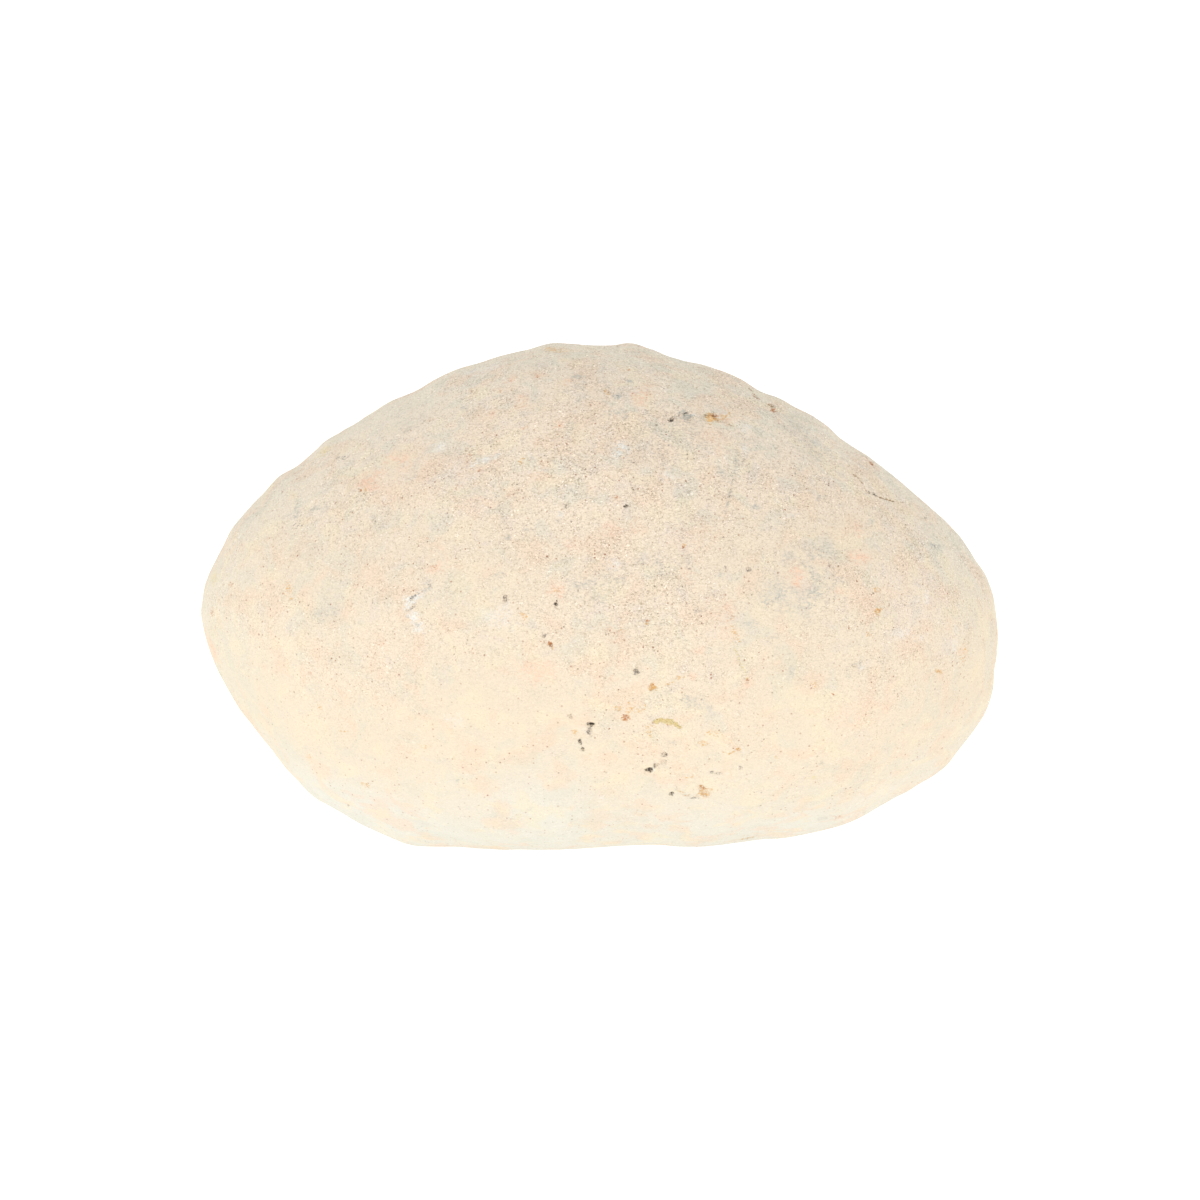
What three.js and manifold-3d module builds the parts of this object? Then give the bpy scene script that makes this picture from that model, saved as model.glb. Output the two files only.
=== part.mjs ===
// A whole agate geode: the closed, weather-worn nodule as it comes out of the ground. It is one
// piece of stone with swells, pits, chips and two short cracks in its crust, and it stands on
// the small flat that its own weight has worn underneath.
// Sizes are in millimetres. +X runs along the stone, +Z is up and z = 0 is what it rests on.

import * as THREE from 'three';
import Module from 'manifold-3d';
import { ImprovedNoise } from 'three/addons/math/ImprovedNoise.js';
import { mergeVertices } from 'three/addons/utils/BufferGeometryUtils.js';

const wasm = await Module();
wasm.setup();

// ---------------------------------------------------------------- driving dimensions

// The broadest section, as [across, up] from its middle, anticlockwise from the blunt end.
const SECTION = [
  [60.1, -5.3], [59.1, -0.5], [57.7, 3.2], [54.1, 8.8], [48.6, 14.2], [41.4, 20.2],
  [34.2, 25.1], [26.4, 29.7], [17.8, 33.7], [8.5, 36.8], [-1.0, 37.8], [-8.5, 37.4],
  [-14.8, 36.0], [-21.3, 33.6], [-28.5, 30.3], [-35.8, 26.5], [-42.8, 21.9], [-48.9, 16.5],
  [-54.2, 10.8], [-57.7, 5.2], [-59.3, 0.7], [-59.7, -1.6], [-58.0, -8.8], [-55.0, -14.6],
  [-50.6, -21.0], [-46.4, -26.1], [-41.7, -30.9], [-35.0, -34.4], [-28.8, -37.1], [-21.7, -38.0],
  [-7.1, -38.1], [3.8, -37.6], [15.1, -37.3], [25.4, -36.9], [32.7, -35.4], [40.0, -33.0],
  [47.2, -28.8], [53.0, -24.4], [57.4, -18.7], [59.3, -12.6],
];
const HALF_LENGTH = 60;
const HALF_HEIGHT = 38;
const SECTION_LEAN = 8; // degrees that the broadest section leans back from upright
const FRONT_DEPTH = 39.5; // from the broadest section out to the front of the belly
const BACK_DEPTH = 43.5; // and out to the back
const FULLNESS = 0.93; // 1 is an ellipse, and less is fuller in the shoulders
const BLUNT_END_GAIN = 0.09; // how much deeper the blunt end is than the middle
const FRONT_BELLY_GAIN = 0.06; // how much deeper the front is low down than at mid height
const BACK_SHOULDER_GAIN = 0.05; // how much deeper the back is high up than at mid height
const REST_WEAR = 1.5; // how far the resting flat is worn into the belly
const REST_ROUNDING = 0.35; // how softly the flat runs out into the belly

// Broad swells (+) and soft flats (-): where they are, how far they spread and how high they rise.
const SWELLS = [
  { face: 'front', at: [-25, -8], spread: 20, rise: 1.1 },
  { face: 'front', at: [7, 13], spread: 15, rise: -0.9 },
  { face: 'front', at: [33, -7], spread: 17, rise: 0.9 },
  { face: 'front', at: [2, -23], spread: 11, rise: -0.6 },
  { face: 'front', at: [-38, 12], spread: 11, rise: -0.6 },
  { face: 'back', at: [20, 11], spread: 20, rise: 2.0 },
  { face: 'back', at: [-19, 3], spread: 19, rise: -2.1 },
  { face: 'back', at: [-36, -13], spread: 13, rise: 1.6 },
  { face: 'back', at: [36, -10], spread: 13, rise: -1.3 },
  { face: 'back', at: [2, -20], spread: 12, rise: 1.0 },
  { face: 'top', at: [14, 22], spread: 12, rise: 1.1 },
  { face: 'top', at: [-20, 20], spread: 12, rise: -1.2 },
  { face: 'top', at: [2, -24], spread: 10, rise: -0.5 },
  { face: 'blunt_end', at: [16, -6], spread: 11, rise: 1.0 },
  { face: 'blunt_end', at: [-20, 6], spread: 10, rise: -0.7 },
  { face: 'narrow_end', at: [-16, 6], spread: 10, rise: 0.9 },
  { face: 'narrow_end', at: [18, -8], spread: 10, rise: -0.8 },
  { face: 'under', at: [-27, 13], spread: 9, rise: -1.1 },
  { face: 'under', at: [-30, -13], spread: 8, rise: -0.9 },
  { face: 'under', at: [23, 12], spread: 9, rise: -0.8 },
  { face: 'under', at: [21, -15], spread: 9, rise: -0.9 },
  { face: 'under', at: [-6, 17], spread: 8, rise: 0.6 },
];
// Small knobs and nicks on the crest and the ends, which show against the sky.
const KNOBS = [
  { face: 'top', at: [4.6, 0], spread: 2.6, rise: 0.5 },
  { face: 'top', at: [-9.2, 1], spread: 2.4, rise: 0.25 },
  { face: 'top', at: [0.4, -1], spread: 2.2, rise: -0.2 },
  { face: 'top', at: [-16, 0], spread: 2.5, rise: 0.2 },
  { face: 'top', at: [22, 1], spread: 2.2, rise: 0.3 },
];
const LUMP_SPACING = 15; // between the low lumps of the crust
const LUMP_RISE = 0.55;
const RIPPLE_SPACING = 6.5; // between the finer ripples on them
const RIPPLE_RISE = 0.16;
const SECTION_CALM = 0.35; // share of the depth beside the section that swells fade out over

// Hollows in the crust. Length runs along turn, in degrees anticlockwise from across.
const PITS = [
  // golden grain's pocket and the broken skin beside it, high on the front
  { face: 'front', at: [16.2, 24.9], length: 2.1, width: 2.4, depth: 0.9 },
  { face: 'front', at: [12.5, 25.1], length: 2.7, width: 1.8, depth: 0.5, turn: 8 },
  { face: 'front', at: [10.4, 24.7], length: 1.4, width: 1.2, depth: 0.5, turn: 40 },
  { face: 'front', at: [18.4, 24.2], length: 2.8, width: 0.9, depth: 0.35, turn: -19 },
  // nicks in the shoulder towards the blunt end
  { face: 'front', at: [23.1, 28.7], length: 2.0, width: 1.3, depth: 0.45, turn: -38 },
  { face: 'front', at: [25.4, 26.8], length: 2.0, width: 1.2, depth: 0.45, turn: -40 },
  { face: 'front', at: [37.5, 16.6], length: 1.2, width: 1.1, depth: 0.4 },
  // black pits below the middle
  { face: 'front', at: [-0.9, -17.8], length: 1.3, width: 1.1, depth: 0.9 },
  { face: 'front', at: [-1.0, -19.0], length: 1.1, width: 0.8, depth: 0.5, turn: 80 },
  { face: 'front', at: [-2.3, -20.6], length: 2.3, width: 1.0, depth: 0.8, turn: 52 },
  { face: 'front', at: [7.4, -24.3], length: 1.3, width: 1.0, depth: 0.6, turn: 20 },
  { face: 'front', at: [8.7, -23.5], length: 1.7, width: 0.9, depth: 0.5, turn: 25 },
  // pits and flakes with ochre in them, low on the front
  { face: 'front', at: [9.5, -17.9], length: 4.4, width: 1.8, depth: 0.5, turn: -17 },
  { face: 'front', at: [17.1, -20.5], length: 5.2, width: 2.6, depth: 0.4, turn: -15 },
  { face: 'front', at: [14.8, -27.2], length: 1.6, width: 1.8, depth: 0.7 },
  { face: 'front', at: [13.0, -28.2], length: 2.3, width: 1.0, depth: 0.35, turn: -4 },
  { face: 'front', at: [16.7, -24.8], length: 1.9, width: 0.8, depth: 0.3, turn: -8 },
  // scattered small pits
  { face: 'front', at: [4.0, 12.2], length: 1.2, width: 1.0, depth: 0.5 },
  { face: 'front', at: [-5.6, -1.2], length: 1.1, width: 0.9, depth: 0.5 },
  { face: 'front', at: [-12.6, -0.5], length: 1.0, width: 0.9, depth: 0.4 },
  { face: 'front', at: [-6.9, -6.2], length: 1.8, width: 1.0, depth: 0.5, turn: -48 },
  { face: 'front', at: [7.5, -12.7], length: 1.2, width: 0.9, depth: 0.5 },
  { face: 'front', at: [36.1, -9.9], length: 1.3, width: 0.8, depth: 0.4, turn: -20 },
  // chalky knock towards the narrow end
  { face: 'front', at: [-24.6, 0.2], length: 3.3, width: 1.6, depth: 0.35, turn: 40 },
  // the back, the crest and the two ends
  { face: 'back', at: [-14, 17], length: 2.4, width: 1.9, depth: 0.9, turn: 30 },
  { face: 'back', at: [-11, 15.4], length: 1.5, width: 0.9, depth: 0.5, turn: -20 },
  { face: 'back', at: [24, -6], length: 6.4, width: 3.2, depth: 0.6, turn: 24 },
  { face: 'back', at: [30, -2.6], length: 1.7, width: 1.1, depth: 0.6, turn: 60 },
  { face: 'back', at: [-30, -9], length: 1.4, width: 1.2, depth: 0.7 },
  { face: 'back', at: [-28.2, -11.4], length: 2.2, width: 1.0, depth: 0.6, turn: 48 },
  { face: 'back', at: [2, -14], length: 1.3, width: 1.0, depth: 0.5 },
  { face: 'back', at: [38, 8], length: 1.5, width: 1.0, depth: 0.5, turn: -30 },
  { face: 'back', at: [-40, 9], length: 3.8, width: 1.7, depth: 0.4, turn: -35 },
  { face: 'top', at: [-12, 9], length: 2.0, width: 1.4, depth: 0.6, turn: 15 },
  { face: 'top', at: [19, 11], length: 1.4, width: 1.1, depth: 0.5 },
  { face: 'top', at: [5, 19], length: 4.2, width: 2.0, depth: 0.45, turn: -28 },
  { face: 'blunt_end', at: [9, 4], length: 1.5, width: 1.1, depth: 0.6, turn: 35 },
  { face: 'blunt_end', at: [-11, -9], length: 2.6, width: 1.2, depth: 0.5, turn: -50 },
  { face: 'narrow_end', at: [-9, -5], length: 1.4, width: 1.1, depth: 0.6 },
  { face: 'narrow_end', at: [12, 8], length: 2.4, width: 1.3, depth: 0.5, turn: 65 },
];
const FLAKE_LENGTH = 2; // a hollow longer than this is cut with the finer lump
const CUTTER_SPREAD = 1.08; // mean size of the rough lump that cuts a hollow, against the hollow
const CUTTER_ROUGHNESS = 0.14; // how far the lump's corners stand in and out of that
const CUTTER_WAVES = new THREE.Vector3(5, 3.7, 4.3); // how quickly they do so along each axis

// Short open cracks: the places that each one runs through from end to end.
const CRACKS = [
  { face: 'front', through: [[38.5, 14.8], [40.5, 14.0], [42.2, 13.5], [44.5, 13.4]] },
  { face: 'back', through: [[8.0, 24.5], [4.6, 22.8], [1.8, 22.4], [-1.5, 20.2]] },
];
const CRACK_WIDTH = 0.8;
const CRACK_DEPTH = 0.4;
const CRACK_OVERRUN = 1.25; // how far each leg of a crack runs past its length, to meet the next

const MESH_SPLITS = 16; // how often each edge of the starting icosahedron is split
const SECTION_STEPS = 1440; // samples of the section's curve
const MERGE_WITHIN = 1e-4; // corners closer than this are one
const FAR_OFF = 200; // clear of the stone on every side

// ---------------------------------------------------------------- axes of the stone

const LEAN = THREE.MathUtils.degToRad(SECTION_LEAN);
const ACROSS = new THREE.Vector3(1, 0, 0);
const UP = new THREE.Vector3(0, Math.sin(LEAN), Math.cos(LEAN));
const BACKWARD = new THREE.Vector3(0, Math.cos(LEAN), -Math.sin(LEAN));

// The sides that swells, pits and cracks are laid out on, each as seen from straight outside it.
const FACES = {
  front: { across: ACROSS, up: UP, inward: BACKWARD },
  back: { across: ACROSS.clone().negate(), up: UP, inward: BACKWARD.clone().negate() },
  top: { across: ACROSS, up: BACKWARD, inward: UP.clone().negate() },
  under: { across: ACROSS, up: BACKWARD.clone().negate(), inward: UP },
  blunt_end: { across: BACKWARD, up: UP, inward: ACROSS.clone().negate() },
  narrow_end: { across: BACKWARD.clone().negate(), up: UP, inward: ACROSS },
};

// ---------------------------------------------------------------- the worn form

/** Gives the section's radius for an angle about its middle. */
function traceSection() {
  const points = SECTION.map(([across, up]) => new THREE.Vector3(across, up, 0));
  const curve = new THREE.CatmullRomCurve3(points, true, 'centripetal');
  const ring = curve.getSpacedPoints(SECTION_STEPS).slice(0, -1);
  const samples = ring.map((point) => ({ angle: Math.atan2(point.y, point.x), radius: point.length() }));
  samples.sort((a, b) => a.angle - b.angle);
  return (angle) => {
    const after = samples.findIndex((sample) => sample.angle >= angle);
    if (after <= 0) return samples[0].radius;
    const [low, high] = [samples[after - 1], samples[after]];
    const share = (angle - low.angle) / (high.angle - low.angle);
    return THREE.MathUtils.lerp(low.radius, high.radius, share);
  };
}

const sectionRadius = traceSection();

/** Place on the stone before its swells, for a unit direction out of its middle. */
function bareForm(direction) {
  const across = direction.dot(ACROSS);
  const up = direction.dot(UP);
  const back = direction.dot(BACKWARD);
  const rim = Math.max(Math.hypot(across, up), Number.EPSILON);
  const reach = (sectionRadius(Math.atan2(up, across)) * rim ** FULLNESS) / rim;
  const height = (up * reach) / HALF_HEIGHT;
  const gain = back < 0 ? 1 - FRONT_BELLY_GAIN * height : 1 + BACK_SHOULDER_GAIN * height;
  const endGain = 1 + (BLUNT_END_GAIN * across * reach) / HALF_LENGTH;
  const depth = back * (back < 0 ? FRONT_DEPTH : BACK_DEPTH) * gain * endGain;
  return new THREE.Vector3()
    .addScaledVector(ACROSS, across * reach)
    .addScaledVector(UP, up * reach)
    .addScaledVector(BACKWARD, depth);
}

/** A closed net of triangles over the bare form, its shared corners merged. */
function bareSkin() {
  const net = new THREE.IcosahedronGeometry(1, MESH_SPLITS);
  net.deleteAttribute('normal');
  net.deleteAttribute('uv');
  const skin = mergeVertices(net);
  const corner = new THREE.Vector3();
  const position = skin.getAttribute('position');
  for (let i = 0; i < position.count; i += 1) {
    const placed = bareForm(corner.fromBufferAttribute(position, i).normalize());
    position.setXYZ(i, placed.x, placed.y, placed.z);
  }
  return skin;
}

/** Drops a straight line onto one side of a skin, and gives the place and the outward normal. */
function landOn(skin, face, [across, up]) {
  const axes = FACES[face];
  const start = new THREE.Vector3()
    .addScaledVector(axes.across, across)
    .addScaledVector(axes.up, up)
    .addScaledVector(axes.inward, -FAR_OFF);
  const caster = new THREE.Raycaster(start, axes.inward);
  const [hit] = caster.intersectObject(new THREE.Mesh(skin));
  return { point: hit.point, normal: hit.face.normal.clone() };
}

/** Sum of swells at a place, each fading smoothly with distance from its centre. */
function riseOf(swells, place) {
  const fade = (swell) => Math.exp(-((place.distanceTo(swell.centre) / swell.spread) ** 2));
  return swells.reduce((sum, swell) => sum + swell.rise * fade(swell), 0);
}

/** Raises the swells, lumps, ripples and knobs out of the skin, and wears the resting flat. */
function weather(skin) {
  const noise = new ImprovedNoise();
  const wave = (p, spacing) => noise.noise(p.x / spacing, p.y / spacing, p.z / spacing);
  const seat = (swell) => ({ ...swell, centre: landOn(skin, swell.face, swell.at).point });
  const swells = SWELLS.map(seat);
  const knobs = KNOBS.map(seat);
  const position = skin.getAttribute('position');
  const place = new THREE.Vector3();
  for (let i = 0; i < position.count; i += 1) {
    place.fromBufferAttribute(position, i);
    const depthShare = Math.abs(place.dot(BACKWARD)) / FRONT_DEPTH;
    const calm = THREE.MathUtils.smoothstep(depthShare, 0, SECTION_CALM);
    const broad = calm * (riseOf(swells, place) + LUMP_RISE * wave(place, LUMP_SPACING));
    const fine = riseOf(knobs, place) + RIPPLE_RISE * wave(place, RIPPLE_SPACING);
    place.setLength(place.length() + broad + fine);
    position.setXYZ(i, place.x, place.y, place.z);
  }
  skin.computeBoundingBox();
  const floor = skin.boundingBox.min.z + REST_WEAR;
  for (let i = 0; i < position.count; i += 1) {
    position.setZ(i, floor + wornHeight(position.getZ(i) - floor));
  }
  return skin;
}

/** Height above the resting flat after wear: 0 on the flat, and unchanged well above it. */
function wornHeight(height) {
  if (height > REST_ROUNDING) return height;
  if (height < -REST_ROUNDING) return 0;
  return (height + REST_ROUNDING) ** 2 / (4 * REST_ROUNDING);
}

// ---------------------------------------------------------------- pits and cracks

/** Turns a closed geometry into a solid that can be cut. */
function asSolid(geometry) {
  for (const name of ['normal', 'uv']) geometry.deleteAttribute(name);
  const merged = mergeVertices(geometry, MERGE_WITHIN);
  const vertProperties = new Float32Array(merged.getAttribute('position').array);
  const triVerts = new Uint32Array(merged.index.array);
  return new wasm.Manifold(new wasm.Mesh({ numProp: 3, vertProperties, triVerts }));
}

/** The cutter for one hollow: a rough lump that lies half in the crust. */
function pitCutter(skin, { face, at, length, width, depth, turn = 0 }) {
  const { point, normal } = landOn(skin, face, at);
  const lump = new THREE.IcosahedronGeometry(1, length > FLAKE_LENGTH ? 1 : 0);
  const position = lump.getAttribute('position');
  const corner = new THREE.Vector3();
  for (let i = 0; i < position.count; i += 1) {
    corner.fromBufferAttribute(position, i);
    const wave = Math.sin(corner.dot(CUTTER_WAVES) + at[0]);
    corner.multiplyScalar(CUTTER_SPREAD + CUTTER_ROUGHNESS * wave);
    position.setXYZ(i, corner.x, corner.y, corner.z);
  }
  lump.scale(length / 2, width / 2, depth);
  return asSolid(lump.applyMatrix4(seatedOn(face, point, normal, turn)));
}

/** Axes on the crust: z along the outward normal, and x along the turn as seen from outside. */
function seatedOn(face, point, normal, turn) {
  const angle = THREE.MathUtils.degToRad(turn);
  const along = new THREE.Vector3()
    .addScaledVector(FACES[face].across, Math.cos(angle))
    .addScaledVector(FACES[face].up, Math.sin(angle))
    .projectOnPlane(normal)
    .normalize();
  const side = new THREE.Vector3().crossVectors(normal, along);
  return new THREE.Matrix4().makeBasis(along, side, normal).setPosition(point);
}

/** The legs of one crack, each as a long narrow hollow. */
function crackLegs({ face, through }) {
  return through.slice(1).map((end, i) => {
    const start = through[i];
    const [across, up] = [end[0] - start[0], end[1] - start[1]];
    return {
      face,
      at: [start[0] + across / 2, start[1] + up / 2],
      length: CRACK_OVERRUN * Math.hypot(across, up),
      width: CRACK_WIDTH,
      depth: CRACK_DEPTH,
      turn: THREE.MathUtils.radToDeg(Math.atan2(up, across)),
    };
  });
}

// ---------------------------------------------------------------- the stone

/** The finished stone, standing on z = 0 with the middle of its box over the origin. */
function geodeGeometry() {
  const skin = weather(bareSkin());
  const hollows = [...PITS, ...CRACKS.flatMap(crackLegs)];
  const dig = (solid, hollow) => solid.subtract(pitCutter(skin, hollow));
  const stone = hollows.reduce(dig, asSolid(skin.clone()));
  const { numProp, vertProperties, triVerts } = stone.getMesh();
  const geometry = new THREE.BufferGeometry();
  geometry.setAttribute('position', new THREE.BufferAttribute(vertProperties, numProp));
  geometry.setIndex(new THREE.BufferAttribute(triVerts, 1));
  geometry.computeBoundingBox();
  const box = geometry.boundingBox;
  const middle = box.getCenter(new THREE.Vector3());
  geometry.translate(-middle.x, -middle.y, -box.min.z);
  geometry.computeVertexNormals();
  return geometry;
}

const crust = new THREE.MeshStandardMaterial({ color: 0xe9d6b9, roughness: 0.9, metalness: 0 });
const geode = new THREE.Mesh(geodeGeometry(), crust);
geode.name = 'geode';

const part = new THREE.Group();
part.add(geode);

export default part;
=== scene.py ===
import sys
import logging
import math
import random
from collections.abc import Iterator
from dataclasses import dataclass, field
from enum import Enum
from typing import Any

import bmesh
import bpy
import numpy as np
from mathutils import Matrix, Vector, noise
from mathutils.bvhtree import BVHTree


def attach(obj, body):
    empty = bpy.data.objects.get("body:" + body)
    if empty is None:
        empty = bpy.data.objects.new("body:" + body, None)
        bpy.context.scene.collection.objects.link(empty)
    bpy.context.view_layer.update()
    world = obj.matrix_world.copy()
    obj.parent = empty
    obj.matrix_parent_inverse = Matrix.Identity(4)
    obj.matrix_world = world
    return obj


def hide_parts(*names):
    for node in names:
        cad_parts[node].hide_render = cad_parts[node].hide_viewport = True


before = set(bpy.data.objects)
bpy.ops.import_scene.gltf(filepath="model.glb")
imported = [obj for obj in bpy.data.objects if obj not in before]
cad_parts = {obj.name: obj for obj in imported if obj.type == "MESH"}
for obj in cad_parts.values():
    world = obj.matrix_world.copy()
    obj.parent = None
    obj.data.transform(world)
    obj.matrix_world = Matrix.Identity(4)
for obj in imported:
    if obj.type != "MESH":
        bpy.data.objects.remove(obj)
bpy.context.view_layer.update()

log = logging.getLogger("geode")

MM = 0.001  # metres in a millimetre; the stone's own sizes below are in millimetres
MIDDLE = np.array((-0.212, -1.775, 36.842))  # of the stone's broadest section
LEAN = math.radians(8)  # how far that section leans back from upright
OUTSIDE = 200  # from the middle, it is well clear of the stone
NOISE_STEP = 17.3  # from one part of the noise to another that looks unlike it

ACROSS = np.array((1.0, 0.0, 0.0))
UP = np.array((0.0, math.sin(LEAN), math.cos(LEAN)))
BACKWARD = np.array((0.0, math.cos(LEAN), -math.sin(LEAN)))

Tint = tuple[float, float, float]  # red, green and blue, in linear light
Net = bmesh.types.BMesh


# ------------------------------------------------------------------ what lies on the crust


class Side(Enum):
    """A side that marks lie on: its name, and its across, up and inward as seen from straight outside."""

    FRONT = ("front", ACROSS, UP, BACKWARD)
    BACK = ("back", -ACROSS, UP, -BACKWARD)
    TOP = ("top", ACROSS, BACKWARD, -UP)
    UNDER = ("under", ACROSS, -BACKWARD, UP)
    BLUNT_END = ("blunt end", BACKWARD, UP, -ACROSS)
    NARROW_END = ("narrow end", -BACKWARD, UP, ACROSS)

    def __init__(self, label: str, across: np.ndarray, up: np.ndarray, inward: np.ndarray) -> None:
        """Keeps the side's three directions beside its name."""
        self.label, self.across, self.up, self.inward = label, across, up, inward


class Stain(Enum):
    """What colours a mark. The value names the mesh attribute that holds how much of it there is."""

    OCHRE = "ochre"
    OLIVE = "olive"
    RUST = "rust"
    UMBER = "umber"
    SOOT = "soot"
    LEAD = "lead"
    SLATE = "slate"
    CHALK = "chalk"
    BLUSH = "blush"


OCHRE, OLIVE, RUST, UMBER, SOOT, LEAD, SLATE, CHALK, BLUSH = Stain  # short names for the tables

HALO = 0.25  # how far past its outline a mark is still felt


def ease(values: np.ndarray, low: float, high: float) -> np.ndarray:
    """A smooth rise from 0 at low to 1 at high."""
    share = np.clip((values - low) / (high - low), 0, 1)
    return share * share * (3 - 2 * share)


@dataclass(frozen=True)
class Mark:
    """A pit, speck or blotch. Its length runs along turn, in degrees anticlockwise from across."""

    stain: Stain
    at: tuple[float, float]
    size: tuple[float, float]
    turn: float = 0
    depth: float = 0
    strength: float = 1
    side: Side = Side.FRONT

    OUTREACH = 1.05  # how far its ragged outline can wander, against its longer width
    BLOTCH = 1.4  # a flat stain wider than this shows well enough
    COARSE = 0.9  # with mesh edges as long as this
    EDGE_SHARE = 0.31  # of the width of any other mark, for one mesh edge
    EDGES = (0.14, 0.25)  # and the shortest and longest that such an edge gets

    @property
    def breadth(self) -> float:
        """Its shorter width."""
        return min(self.size)

    @property
    def reach(self) -> float:
        """How far from its middle the mark can be felt."""
        return max(self.size) * self.OUTREACH + HALO

    @property
    def grain(self) -> float:
        """The longest mesh edge that still shows the mark's outline."""
        if self.depth == 0 and self.breadth > self.BLOTCH:
            return self.COARSE
        shortest, longest = self.EDGES
        return min(max(self.breadth * self.EDGE_SHARE, shortest), longest)

    def anchors(self) -> list[tuple[float, float]]:
        """The places where the mark's line runs, on its side's layout."""
        return [self.at]

    def closeness(self, spots: np.ndarray, seats: list[np.ndarray]) -> np.ndarray:
        """How near spots are to the mark.

        Args:
            spots: places on the crust, from the section's middle.
            seats: where the mark's anchors lie on the crust.
        Returns:
            0 at the mark's middle and 1 on its outline.
        """
        away = spots - seats[0]
        along, over = away @ self.side.across, away @ self.side.up
        turn = math.radians(self.turn)
        long_way = along * math.cos(turn) + over * math.sin(turn)
        short_way = over * math.cos(turn) - along * math.sin(turn)
        return np.hypot(long_way / (self.size[0] / 2), short_way / (self.size[1] / 2))

    @staticmethod
    def several(stain: Stain, *rows: tuple[float, ...], side: Side = Side.FRONT) -> Iterator["Mark"]:
        """Marks of one stain on one side.

        Args:
            stain: what colours them.
            rows: for each its across, up, length, width and strength, and its turn and depth if it has them.
            side: where they lie.
        Returns:
            each mark in turn.
        """
        for across, up, length, width, strength, *rest in rows:
            turn, depth = (*rest, 0, 0)[:2]
            yield Mark(stain, (across, up), (length, width), turn, depth, strength, side)


@dataclass(frozen=True)
class Trace:
    """A crack, scratch or thin line through several places. It thins out at both ends."""

    stain: Stain
    through: tuple[tuple[float, float], ...]
    width: float
    depth: float = 0
    strength: float = 1
    side: Side = Side.FRONT

    EDGE_SHARE = 0.42  # of the line's width, for one mesh edge
    SHORTEST_EDGE = 0.13
    TIP = 0.35  # how wide its ends are, against its middle

    @property
    def breadth(self) -> float:
        """The line's width."""
        return self.width

    @property
    def reach(self) -> float:
        """How far from the line the mark can be felt."""
        return self.width + HALO

    @property
    def grain(self) -> float:
        """The longest mesh edge that still shows the line."""
        return max(self.width * self.EDGE_SHARE, self.SHORTEST_EDGE)

    def anchors(self) -> list[tuple[float, float]]:
        """The places where the mark's line runs, on its side's layout."""
        return list(self.through)

    def closeness(self, spots: np.ndarray, seats: list[np.ndarray]) -> np.ndarray:
        """How near spots are to the line, as Mark.closeness says it for a blotch."""
        flat = np.stack([spots @ self.side.across, spots @ self.side.up], axis=1)
        corners = [np.array((seat @ self.side.across, seat @ self.side.up)) for seat in seats]
        legs = [np.linalg.norm(after - before) for before, after in zip(corners, corners[1:])]
        total, passed = sum(legs), 0.0
        nearest = np.full(len(flat), np.inf)
        for before, after, leg in zip(corners, corners[1:], legs):
            heading = (after - before) / leg
            share = np.clip((flat - before) @ heading, 0, leg)
            gap = np.linalg.norm(flat - before - share[:, None] * heading, axis=1)
            travelled = (passed + share) / total
            fullness = self.TIP + (1 - self.TIP) * np.sqrt(np.clip(4 * travelled * (1 - travelled), 0, 1))
            nearest = np.minimum(nearest, gap / (self.width / 2 * fullness))
            passed += leg
        return nearest


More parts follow.
